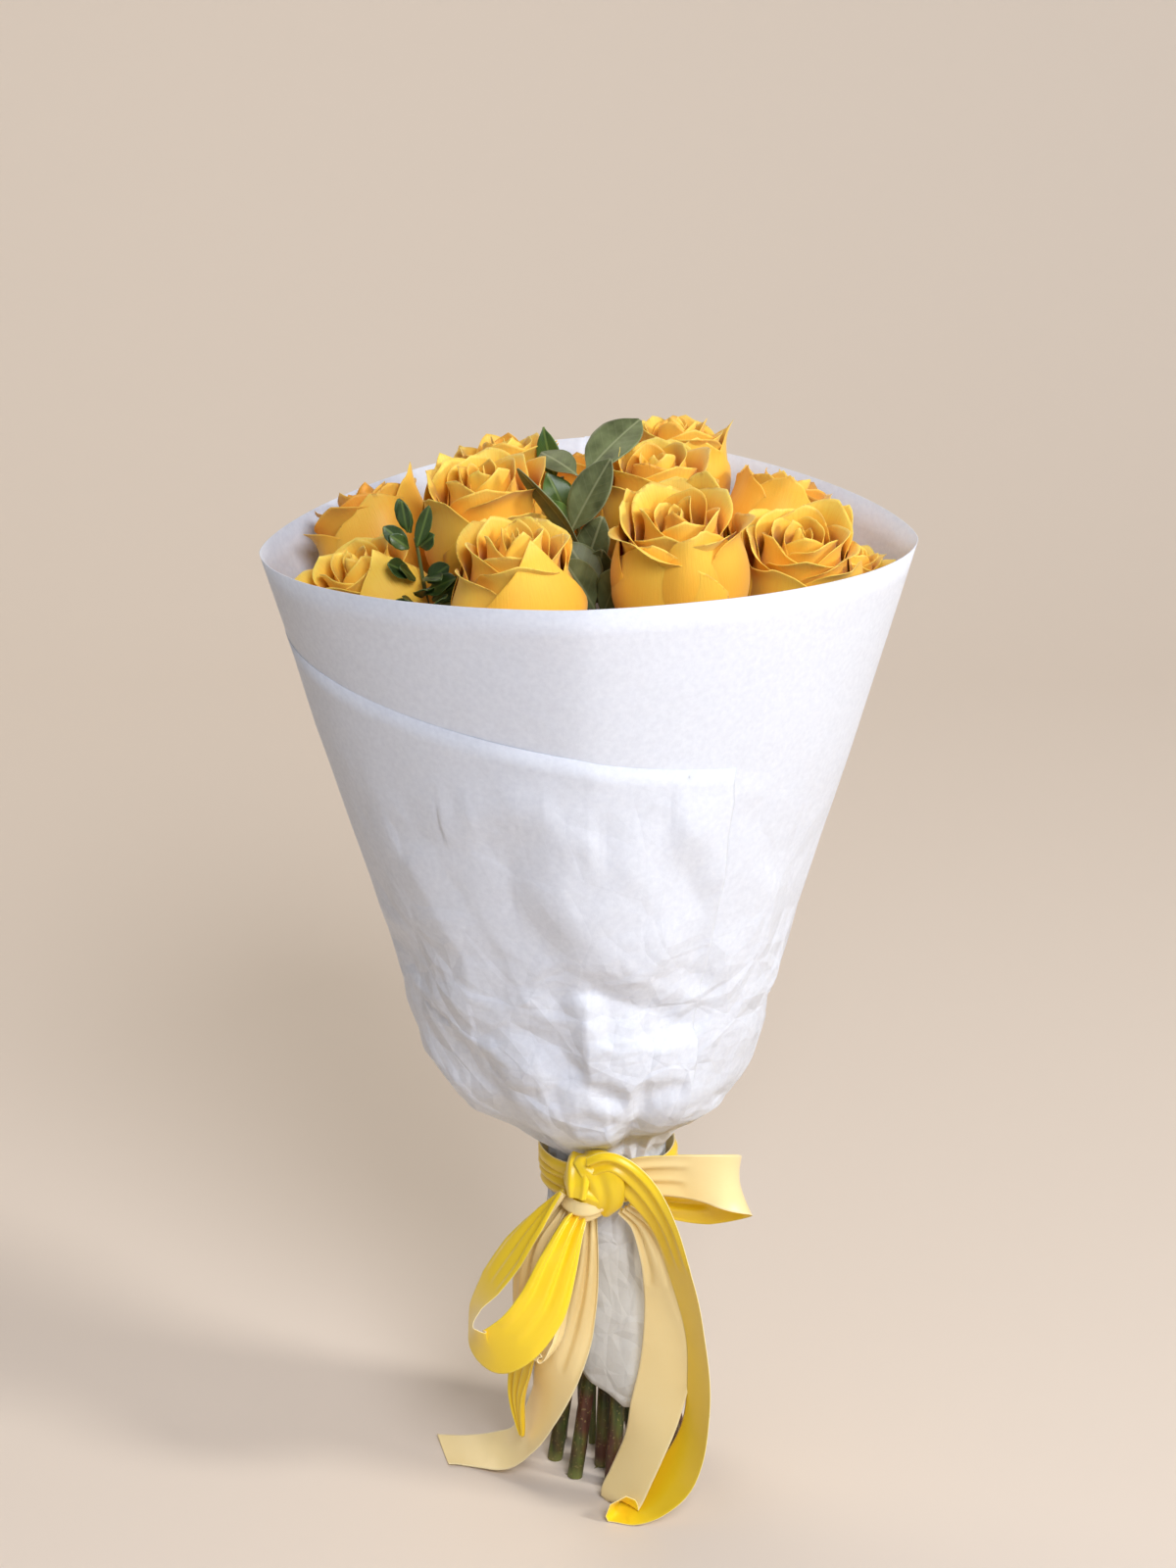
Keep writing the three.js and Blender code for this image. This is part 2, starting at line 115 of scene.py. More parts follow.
# uv in metres, object position, and the mark's red, green, blue and alpha
def surfacePlaces(tree):
    place = addNode(tree, "ShaderNodeTexCoord").outputs
    mark = addNode(tree, "ShaderNodeAttribute", attribute_name="mark").outputs
    parts = addNode(tree, "ShaderNodeSeparateColor", {"Color": mark["Color"]}).outputs
    return place["UV"], place["Object"], parts["Red"], parts["Green"], parts["Blue"], mark["Alpha"]


def finishSurface(tree, shader, colour, height, strength, distance):
    tree.links.new(colour, shader.inputs["Base Color"])
    bump = addNode(tree, "ShaderNodeBump", {"Height": height, "Strength": strength, "Distance": distance})
    tree.links.new(bump.outputs["Normal"], shader.inputs["Normal"])


# a mesh piece from points and faces, with uv in metres and a colour mark at each point
def makePiece(name, points, faces, surfaces, uv=None, mark=None, faceSurface=None, smooth=True):
    mesh = bpy.data.meshes.new(name)
    mesh.from_pydata(np.asarray(points, dtype=float).tolist(), [], np.asarray(faces).tolist())
    if uv is not None:
        corner = np.empty(len(mesh.loops), dtype=np.int32)
        mesh.loops.foreach_get("vertex_index", corner)
        layer = mesh.uv_layers.new(name="flat")
        layer.data.foreach_set("uv", np.asarray(uv, dtype=np.float32)[corner].ravel())
    if mark is not None:
        layer = mesh.attributes.new("mark", "FLOAT_COLOR", "POINT")
        layer.data.foreach_set("color", np.asarray(mark, dtype=np.float32).ravel())
    for surface in surfaces:
        mesh.materials.append(surface)
    if faceSurface is not None:
        mesh.polygons.foreach_set("material_index", np.asarray(faceSurface, dtype=np.int32))
    if smooth:
        mesh.shade_smooth()
    mesh.update()
    piece = bpy.data.objects.new(name, mesh)
    bpy.context.collection.objects.link(piece)
    return piece


def rideAs(piece, replaced):
    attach(piece, "root")
    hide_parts(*replaced)


def gridNormals(points):
    down = np.gradient(points, axis=0)
    over = np.gradient(points, axis=1)
    normal = np.cross(over, down)
    return normal / np.maximum(np.linalg.norm(normal, axis=-1, keepdims=True), 1e-12)


# closed thin shell round a grid of points: an outer face, an inner face and a rim strip
def shell(points, thickness, uv, mark, base=0):
    rows, columns = points.shape[:2]
    normal = gridNormals(points)
    half = np.broadcast_to(np.asarray(thickness) / 2, (rows, columns))[..., None]
    outer = points + normal * half
    inner = points - normal * half
    index = np.arange(rows * columns).reshape(rows, columns)
    a, b, c, d = index[:-1, :-1], index[:-1, 1:], index[1:, 1:], index[1:, :-1]
    count = rows * columns
    front = np.stack([a, d, c, b], -1).reshape(-1, 4)
    back = np.stack([a, b, c, d], -1).reshape(-1, 4) + count
    edge = np.concatenate([index[0, :-1], index[:-1, -1], index[-1, :0:-1], index[:0:-1, 0]])
    after = np.roll(edge, -1)
    rim = np.stack([edge, after, after + count, edge + count], -1)
    faces = np.concatenate([front, back, rim]) + base
    both = np.concatenate([outer.reshape(-1, 3), inner.reshape(-1, 3)])
    uvBoth = np.concatenate([uv.reshape(-1, 2)] * 2)
    markBoth = np.concatenate([mark.reshape(-1, 4)] * 2)
    return both, faces, uvBoth, markBoth


# several shells in one mesh
class Gather:
    def __init__(self):
        self.points, self.faces, self.uv, self.mark, self.surface = [], [], [], [], []
        self.count = 0

    def add(self, points, thickness, uv, mark, surface=0, backSurface=None):
        made = shell(points, thickness, uv, mark, self.count)
        self.points.append(made[0])
        self.faces.append(made[1])
        self.uv.append(made[2])
        self.mark.append(made[3])
        which = np.full(len(made[1]), surface)
        if backSurface is not None:
            faceCount = (points.shape[0] - 1) * (points.shape[1] - 1)
            which[faceCount:2 * faceCount] = backSurface
        self.surface.append(which)
        self.count += len(made[0])

    def piece(self, name, surfaces):
        return makePiece(
            name, np.concatenate(self.points), np.concatenate(self.faces), surfaces,
            np.concatenate(self.uv), np.concatenate(self.mark), np.concatenate(self.surface),
        )


def nodePoints(name):
    mesh = nodes[name].data
    points = np.empty(len(mesh.vertices) * 3)
    mesh.vertices.foreach_get("co", points)
    return points.reshape(-1, 3)


def unit(vectors):
    return vectors / np.linalg.norm(vectors, axis=-1, keepdims=True)


def stacked(*parts):
    return np.stack(np.broadcast_arrays(*parts), -1)


def smoothStep(low, high, value):
    t = np.clip((value - low) / (high - low), 0, 1)
    return t * t * (3 - 2 * t)


# camera, floor, backdrop and light
cameraLook = {"distance": 1.5, "height": 0.891, "pitch": 20.5, "lens": 85}
cameraData = bpy.data.cameras.new("camera")
cameraData.lens = cameraLook["lens"]
camera = bpy.data.objects.new("camera", cameraData)
camera.location = (0, -cameraLook["distance"], cameraLook["height"])
camera.rotation_euler = (math.radians(90 - cameraLook["pitch"]), 0, 0)
bpy.context.collection.objects.link(camera)
bpy.context.scene.camera = camera
bpy.context.scene.view_settings.view_transform = "Standard"

lightLook = {
    "key": {"at": (2.2, -0.9, 1.5), "size": 0.5, "power": 36, "colour": "#FFFCF7"},
    "fill": {"at": (0.6, -2.0, 1.9), "size": 1.1, "power": 48, "colour": "#F3F5FF"},
    "back": {"at": (-0.9, 1.3, 1.8), "size": 1.2, "power": 12, "colour": "#FFF6E8"},
    "surround": "#EEF0F6", "surroundPower": 0.26,
}


def addLight(name, at, size, power, colour):
    data = bpy.data.lights.new(name, "AREA")
    data.shape = "DISK"
    data.size = size
    data.energy = power
    data.color = linear(colour)[:3]
    lamp = bpy.data.objects.new(name, data)
    lamp.location = at
    lamp.rotation_euler = (Vector((0, 0, 0.25)) - Vector(at)).to_track_quat("-Z", "Y").to_euler()
    bpy.context.collection.objects.link(lamp)


for lampName in ("key", "fill", "back"):
    addLight(lampName, **lightLook[lampName])


world = bpy.data.worlds.new("studio")
world.use_nodes = True
world.node_tree.nodes["Background"].inputs["Color"].default_value = linear(lightLook["surround"])
world.node_tree.nodes["Background"].inputs["Strength"].default_value = lightLook["surroundPower"]
bpy.context.scene.world = world

# floor that curves up into a backdrop
floorSurface, floorTree, floorShader = newSurface("matt plaster floor", Roughness=0.85)
floorNoise = addNode(floorTree, "ShaderNodeTexNoise", {"Scale": 3.0, "Detail": 2.0}).outputs["Fac"]
floorShade = mixColour(floorTree, floorNoise, "#DFD1C2", "#E2D6C8")
floorTree.links.new(floorShade, floorShader.inputs["Base Color"])
sweep = [(-2.5, 0), (0.5, 0), (1.1, 0)] + [
    (1.1 + 0.9 * math.sin(a), 0.9 - 0.9 * math.cos(a)) for a in np.linspace(0.1, math.pi / 2, 12)
] + [(2.0, 3.2)]
sweepPoints = np.array([[(x, y, z) for x in (-3.0, 3.0)] for y, z in sweep])
sweepFaces = [(2 * i, 2 * i + 1, 2 * i + 3, 2 * i + 2) for i in range(len(sweep) - 1)]
floor = makePiece("floor", sweepPoints.reshape(-1, 3), sweepFaces, [floorSurface])
print("stage done")
# rose blooms: whorls of closed thin petals round each bloom's own axis, heart to guard petals
petalSurface, petalTree, petalShader = newSurface(
    "rose petal, waxy skin over soft flesh", Roughness=0.52, IOR=1.4, Subsurface_Weight=0.2,
    Subsurface_Radius=(0.0009, 0.0006, 0.0002), Subsurface_Scale=1.0, Sheen_Weight=0.12, Sheen_Roughness=0.5,
)


def paintPetals():
    tree = petalTree
    flat, body, own, tone, along, edge = surfacePlaces(tree)
    # colour from petal base to lip: the rose's own deeper base and paler lip, with painted shade deepening
    # the base inside the bloom and painted light on the lips
    climb = colourAlong(tree, along, [
        (0.0, "#E88620"), (0.35, "#FBAE2C"), (0.66, "#FFBC38"), (0.88, "#FFCC48"), (1.0, "#FFE470"),
    ])
    lemon = mixColour(tree, times(tree, own, 0.3), climb, "#FFDC62")
    warmed = mixColour(tree, times(tree, remap(tree, tone, 0.5, 1.0), 0.75), lemon, "#E8962C")
    cooled = mixColour(tree, times(tree, remap(tree, tone, 0.5, 0.0), 0.45), warmed, "#F4DA5C")
    cloud = noise(tree, body, 90.0, 3.0)
    shaded = mixColour(tree, remap(tree, cloud, 0.35, 0.75, 0.3), cooled, "#F9B43C")
    veins = stretched(tree, flat, (1700, 110, 1), 2.5)  # they fan along the petal, about 0.6 mm apart
    veined = mixColour(tree, remap(tree, veins, 0.45, 0.7, 0.22), shaded, "#F5A830")
    # bruised brown on some lips
    bruise = times(tree, doMath(tree, "GREATER_THAN", noise(tree, body, 160.0, 3.0), 0.56),
                   remap(tree, edge, 0.86, 1.0))
    colour = mixColour(tree, times(tree, bruise, times(tree, own, 0.55)), veined, "#A5661A")
    relief = doMath(tree, "ADD", veins, times(tree, noise(tree, body, 1400.0, 1.0), 0.3))
    finishSurface(tree, petalShader, colour, relief, 0.35, 0.0004)
    tree.links.new(remap(tree, cloud, 0.0, 1.0, 0.62, 0.42), petalShader.inputs["Roughness"])


paintPetals()

whorlLook = {  # from the heart (0) to the last petal inside the guard petals (1); lengths in bloom units
    "place": [0, 0.15, 0.35, 0.55, 0.75, 1],
    "belly": [0.12, 0.25, 0.44, 0.62, 0.78, 0.9],
    "span": [150, 118, 94, 80, 70, 64],
    "lip": [0.98, 1.0, 1.03, 1.02, 0.98, 0.93],
    "closing": [0.50, 0.46, 0.38, 0.31, 0.24, 0.16],
    "curl": [-8, 0, 8, 18, 34, 52],
    "corner": [4, 10, 22, 40, 66, 84],
    "tuck": [1.1, 1.3, 1.2, 1.1, 1.0, 0.9],
}


def petalGrid(rng, turn, belly, lip, span, closing, curl, corner, tuck, base=0.003, bellyAt=0.5,
              wave=0.0007, bump=0.0005, drop=0.22, fall=2.8, tip=0.05, ragged=0.0, rows=24, columns=21):
    t = np.linspace(0, 1, 81)
    u = np.linspace(-1, 1, columns)
    s = np.clip((t - bellyAt) / (1 - bellyAt), 0, 1)
    spread = math.radians(74) * np.clip(1 - t / bellyAt, 0, 1) ** 1.3
    upper = -closing * np.sin(math.pi * np.minimum(s * 1.15, 1) * 0.85)
    rollAt = smoothStep(0.42, 1.0, s) ** 1.5
    lean = 0.12 * rng.normal()
    roll = np.radians(curl + corner * np.abs(u) ** 2.2 * (1 + lean * np.sign(u)))
    phi = (spread + upper)[None] + rollAt[None] * roll[:, None]
    outward = np.cumsum(np.sin(phi), 1) / len(t)
    upward = np.cumsum(np.cos(phi), 1) / len(t)
    length = (lip - base) / upward[columns // 2].max()
    bellyStep = int(bellyAt * (len(t) - 1))
    inner = min(0.0028, belly * 0.4)
    share = outward / outward[:, bellyStep:bellyStep + 1]
    radius = np.where(t <= bellyAt, inner + (belly - inner) * share,
                      belly + length * (outward - outward[:, bellyStep:bellyStep + 1]))
    height = base + length * upward
    wobble = ragged * (np.sin(5 * u + rng.uniform(0, 6)) + 0.7 * np.sin(11 * u + rng.uniform(0, 6))
                       + 0.5 * np.sin(19 * u + rng.uniform(0, 6)))
    reach = 1 - drop * np.abs(u) ** fall + tip * (1 - np.abs(u)) ** 3 + wobble
    reach = np.minimum(reach / reach.max(), 1)
    v = 1 - (1 - np.linspace(0, 1, rows)) ** 1.25
    along = v[:, None] * reach[None]
    r = np.stack([np.interp(along[:, j], t, radius[j]) for j in range(columns)], 1)
    z = np.stack([np.interp(along[:, j], t, height[j]) for j in range(columns)], 1)
    width = 0.5 + 0.5 * smoothStep(0.0, 0.5, along)
    theta = turn + math.radians(span) * u[None] * width * np.minimum(1, belly / np.maximum(r, 1e-4)) ** 0.85
    a, b, c, d = rng.uniform(0, 6.28, 4)
    soft = smoothStep(0.15, 0.7, along)
    r = r + tuck * u[None] * soft
    r = r + bump * soft * (np.sin(3 * u[None] + a + 2.5 * along) + 0.6 * np.sin(5 * u[None] + b - 5 * along))
    r = r + wave * along ** 6 * np.sin(6.5 * u[None] + c)
    z = z + wave * along ** 5 * 0.8 * np.sin(5 * u[None] + d)
    r = np.maximum(r, 0.0003)
    points = stacked(r * np.cos(theta), r * np.sin(theta), z)
    uv = stacked(u[None] * math.radians(span) * belly, along * length)
    edge = np.maximum(np.abs(u[None]) ** 5, v[:, None] ** 4) * np.ones_like(along)
    return points, uv, along, edge


# each bloom: seed, tone (0 greenish, 0.5 gold, 1 amber), how far the heart turns to the front,
# how far the cup is open, and its guard petals: degrees round, lip height, curl, corner curl, span, belly
bloomLooks = {
    "01": {"rise": 1.04, "hug": 0.3, "peak": (0.62, 1.4), "seed": 3, "tone": 0.42, "face": 2, "cup": 0.2,
           "guards": [
        (308, 1.1, 4, 16, 76, 1.1), (225, 0.86, 50, 60, 58, 1.0), (150, 0.86, 50, 60, 60, 0.98),
        (60, 0.94, 30, 50, 62, 0.97)]},
    "02": {"seed": 5, "tone": 0.78, "face": -6, "cup": 0.1, "guards": [
        (285, 0.97, 12, 40, 74, 1.0), (350, 1.06, 14, 20, 56, 1.02), (200, 0.86, 50, 60, 60, 1.0),
        (100, 0.92, 40, 60, 60, 0.98)]},
    "03": {"rise": 1.04, "seed": 11, "tone": 0.5, "face": 3, "cup": 0.3, "guards": [
        (222, 0.9, 36, 60, 60, 1.03), (296, 0.78, 44, 64, 66, 1.06), (20, 0.94, 40, 60, 60, 1.0),
        (130, 0.95, 30, 50, 60, 0.97)]},
    "04": {"seed": 13, "tone": 0.6, "face": 0, "cup": 0.2, "guards": [
        (250, 0.9, 40, 60, 62, 1.0), (20, 0.93, 40, 60, 60, 0.98), (140, 0.9, 40, 50, 60, 0.98)]},
    "05": {"rise": 1.08, "hug": 0.34, "peak": (0.6, 1.4), "seed": 17, "tone": 0.44, "face": 0, "cup": 0.1,
           "guards": [
        (294, 1.08, 2, 20, 78, 1.08), (218, 0.84, 50, 74, 58, 1.04), (15, 0.95, 30, 60, 60, 1.0),
        (120, 0.94, 40, 60, 60, 0.98)]},
    "06": {"rise": 1.12, "seed": 19, "tone": 0.5, "face": 2, "cup": 0.8, "hug": 0.26, "guards": [
        (246, 0.9, 22, 34, 66, 1.04), (292, 1.0, 14, 40, 52, 1.0), (345, 0.94, 60, 46, 54, 1.04),
        (60, 1.0, 30, 50, 62, 0.98), (150, 0.98, 20, 50, 62, 0.98)]},
    "07": {"seed": 23, "tone": 0.55, "face": 3, "cup": 0.5, "guards": [
        (240, 0.9, 40, 60, 62, 1.0), (320, 0.88, 44, 66, 60, 1.0), (60, 0.92, 40, 60, 60, 0.98),
        (150, 0.92, 40, 50, 60, 0.98)]},
    "08": {"seed": 29, "tone": 0.52, "face": 2, "cup": 0.5, "guards": [
        (290, 0.9, 30, 60, 66, 1.0), (10, 1.0, 24, 40, 60, 1.0), (130, 0.92, 40, 50, 60, 0.98)]},
    "09": {"seed": 31, "tone": 0.72, "face": -8, "cup": 0.2, "guards": [
        (262, 1.06, 12, 40, 58, 1.0), (205, 1.0, 20, 50, 58, 1.0), (325, 0.92, 46, 60, 62, 1.02),
        (80, 0.92, 40, 50, 60, 0.98)]},
    "10": {"rise": 1.08, "seed": 37, "tone": 0.4, "face": 3, "cup": 0.8, "guards": [
        (240, 0.84, 30, 50, 66, 1.04), (312, 0.84, 46, 60, 62, 1.05), (40, 0.95, 40, 50, 60, 1.0),
        (150, 0.94, 40, 50, 60, 0.98)]},
    "11": {"seed": 41, "tone": 0.45, "face": 2, "cup": 0.4, "guards": [
        (270, 0.88, 60, 70, 62, 1.05), (20, 0.9, 60, 60, 60, 1.03), (150, 0.92, 50, 60, 60, 1.0)]},
    "12": {"seed": 43, "tone": 0.85, "face": 0, "cup": 0.4, "guards": [
        (260, 0.88, 60, 70, 62, 1.0), (20, 0.88, 60, 60, 60, 1.0), (150, 0.88, 50, 60, 60, 0.98)]},
}


def bloomFrame(number):
    bloom = nodePoints("rose_bloom_" + number)
    stem = nodePoints("rose_stem_" + number)
    axis = np.array([0.0, 0.0, 1.0])
    for _ in range(6):
        reach = stem @ axis
        seat = stem[reach > reach.max() - 0.0012].mean(0)
        axis = unit(bloom.mean(0) - seat)
    seat = seat + axis * 0.0004
    beyond = (bloom - seat) @ axis
    radius = np.linalg.norm(bloom - seat - beyond[:, None] * axis, axis=1).max()
    across = unit(np.array([1.0, 0, 0]) - axis * axis[0])
    return seat, np.stack([across, np.cross(axis, across), axis]), radius / 1.04, beyond.max()


def tiltToward(points, turn, degrees):
    pole = np.array([-math.sin(turn), math.cos(turn), 0.0])
    a = math.radians(degrees)
    cosine, sine = math.cos(a), math.sin(a)
    return (points * cosine + np.cross(pole, points) * sine
            + pole * (points @ pole)[..., None] * (1 - cosine))


def makeBloom(number, look):
    seat, axes, radius, height = bloomFrame(number)
    height *= look.get("rise", 1)
    rng = np.random.default_rng(look["seed"])
    gather = Gather()
    front = math.radians(-90)
    spiralCount = 19
    turn = rng.uniform(0, 6.28)

    def addPetal(settings, face, rows, columns):
        points, uv, along, edge = petalGrid(rng, rows=rows, columns=columns, **settings)
        points = tiltToward(points, front, face)
        points = seat + points @ axes
        thickness = 0.0005 * (1 - 0.55 * edge)
        own = rng.uniform(0, 1)
        tone = np.clip(look["tone"] + 0.12 * rng.normal(), 0, 1)
        mark = stacked(own, tone, along, edge)
        gather.add(points, thickness, uv, mark)

    for i in range(spiralCount):
        q = i / (spiralCount - 1)
        turn += math.radians(137.5 + 9 * rng.normal())
        value = {key: np.interp(q, whorlLook["place"], whorlLook[key]) for key in whorlLook}
        sink = look["cup"] * 0.07 * (1 - q) ** 1.5
        facing = max(0.0, math.cos(turn - front))
        lip = value["lip"] - sink - look["cup"] * 0.05 * facing * smoothStep(0.2, 0.8, q)
        settings = {
            "turn": turn, "belly": value["belly"] * radius * (1 + 0.03 * rng.normal()),
            "lip": lip * height * (1 + 0.012 * rng.normal()), "span": value["span"],
            "closing": value["closing"] * (1 - 0.35 * look["cup"]), "curl": value["curl"] + 6 * rng.normal(),
            "corner": value["corner"] * (1 + 0.2 * rng.normal()), "tuck": value["tuck"] * 0.001,
            "base": 0.003 + 0.3 * height * (1 - q) * 0.8, "bellyAt": 0.5 - 0.08 * q,
            "wave": 0.0005 + 0.0006 * q, "bump": 0.0004 + 0.0003 * q,
        }
        columns = 25 if q < 0.4 else 21
        addPetal(settings, look["face"] * (1 - 0.6 * q), 17 if q < 0.4 else 20, columns)
    for k, (turnDegrees, lip, curl, corner, span, belly) in enumerate(look["guards"]):
        drop, fall = look["peak"] if k == 0 and "peak" in look else (0.3, 2.8)
        settings = {
            "turn": math.radians(turnDegrees), "belly": belly * radius, "lip": lip * height, "span": span,
            "closing": look.get("hug", 0.16), "curl": curl, "corner": corner, "tuck": 0.001, "bellyAt": 0.5,
            "wave": 0.0013, "bump": 0.0009, "ragged": 0.01, "tip": 0.1, "drop": drop, "fall": fall,
        }
        addPetal(settings, 0, 26, 25)
    piece = gather.piece("rose_" + number + "_petals", [petalSurface])
    rideAs(piece, ["rose_bloom_" + number])


for roseNumber, roseLook in bloomLooks.items():
    makeBloom(roseNumber, roseLook)


print("roses done:", len(bloomLooks))
# paper wrap: one closed thin sheet rolled one and a half times round, creased where hands gathered it
paperLook = {
    "start": 90, "end": 665, "thickness": 0.0003, "layerStep": 1.7,
    "pleats": 23, "pleatDepth": 2.6, "flat": (0.78, 0.46),
    "crumple": ((44.0, 0.0056), (29.0, -0.0074), (95.0, 0.0012)),  # cells a metre, height by cell width
}
# millimetres: height, half width, half depth, sideways shift, outline exponent
wrapProfile = np.array([
    [18, 35, 33, 14, 2], [60, 33, 31, 12, 2], [110, 28.5, 28, 10, 2], [138, 24.8, 24.8, 9, 2],
    [162, 24.8, 24.8, 9, 2], [172, 38, 33, 4.5, 2], [188, 60, 53, 3, 1.9], [204, 70, 62, 2, 1.85],
    [446, 140.5, 114, -1.2, 1.62],
])
flapEdge = np.array([[450, 454], [495, 426], [540, 402], [585, 389], [630, 377], [665, 366]])
skirtEdge = np.array([[0, 46], [90, 36], [180, 30], [205, 52], [228, 76], [250, 58], [275, 44], [360, 46]])
# creases on the front, in millimetres (x, z): how far the fold stands out, its reach on its left
# and right side looking up along it, and its points
creases = [
    (2.4, 26, 9, [(-55, 237), (-38, 229), (-21, 216), (-10, 197)]),
    (-2.2, 12, 16, [(-12, 266), (4, 265), (25, 254), (52, 237)]),
    (2.0, 20, 12, [(42, 342), (53, 322), (62, 300), (59, 269)]),
    (1.2, 6, 14, [(42, 343), (54, 348), (65, 353)]),
    (1.5, 5, 12, [(-56, 343), (-44, 351), (-28, 355), (-18, 354), (-10, 344), (0, 342)]),
    (1.6, 14, 24, [(-74, 316), (-62, 295), (-50, 272), (-49, 256)]),
    (3.2, 16, 14, [(10, 228), (38, 226), (69, 209)]),
    (2.2, 10, 12, [(82, 245), (68, 241), (55, 237), (42, 226)]),
    (2.0, 9, 12, [(0, 257), (-1, 242), (6, 230)]),
    (1.6, 24, 22, [(-11, 315), (0, 296), (20, 280)]),
    (2.2, 7, 9, [(17, 218), (19, 199)]),
    (2.0, 8, 9, [(36, 206), (28, 181)]),
    (1.8, 8, 10, [(-34, 214), (-17, 199)]),
    (-1.8, 9, 9, [(0, 198), (34, 189)]),
    (0.8, 5, 6, [(4, 369), (20, 366), (38, 366)]),
    (-1.4, 16, 12, [(-86, 262), (-66, 246), (-50, 240)]),
    (1.4, 12, 14, [(76, 296), (70, 270), (74, 250)]),
    (1.2, 14, 18, [(14, 330), (34, 300), (30, 284)]),
    (-1.2, 14, 14, [(-34, 330), (-30, 300), (-14, 284)]),
]


def profileAt(height):
    return [np.interp(height, wrapProfile[:, 0], wrapProfile[:, i]) for i in range(1, 5)]


def wrapPoint(angle, height, outward):
    halfWidth, halfDepth, shift, power = profileAt(height)
    c, s = np.cos(np.radians(angle)), np.sin(np.radians(angle))
    x = np.sign(c) * np.abs(c) ** (2 / power) * (halfWidth + outward) + shift
    y = np.sign(s) * np.abs(s) ** (2 / power) * (halfDepth + outward)
    return np.stack([x, y, height], -1)


def softTent(distance, width):
    return np.maximum(0, 1 - np.sqrt(distance ** 2 + 0.25) / width)


def creaseField(x, z, onFront, rows):
    field = np.zeros_like(x)
    for heightOut, left, right, line in rows:
        best = np.full_like(x, 1e9)
        lift = np.zeros_like(x)
        for (x0, z0), (x1, z1) in zip(line[:-1], line[1:]):
            dx, dz = x1 - x0, z1 - z0
            size = math.hypot(dx, dz)
            along = np.clip(((x - x0) * dx + (z - z0) * dz) / size ** 2, 0, 1)
            px, pz = x - x0 - along * dx, z - z0 - along * dz
            distance = np.hypot(px, pz)
            side = (dx * pz - dz * px) / size
            tent = softTent(distance, np.where(side > 0, left, right))
            nearer = distance < best
            best = np.where(nearer, distance, best)
            lift = np.where(nearer, tent, lift)
        field += 1.7 * heightOut * lift * onFront
    return field


# planar facets of crumpled paper: one field of steepest planes less another, so ridges and valleys are sharp
def facets(x, z, rng, count, spread, tilt, bend):
    fields = []
    for _ in range(2):
        centres = rng.uniform([spread[0], spread[1]], [spread[2], spread[3]], (count, 2))
        slope = rng.normal(0, tilt, (count, 2))
        best = np.full(x.shape, -1e9)
        for (cx, cz), (sx, sz) in zip(centres, slope):
            best = np.maximum(best, sx * (x - cx) + sz * (z - cz) - bend * ((x - cx) ** 2 + (z - cz) ** 2))
        fields.append(best)
    return fields[0] - fields[1]


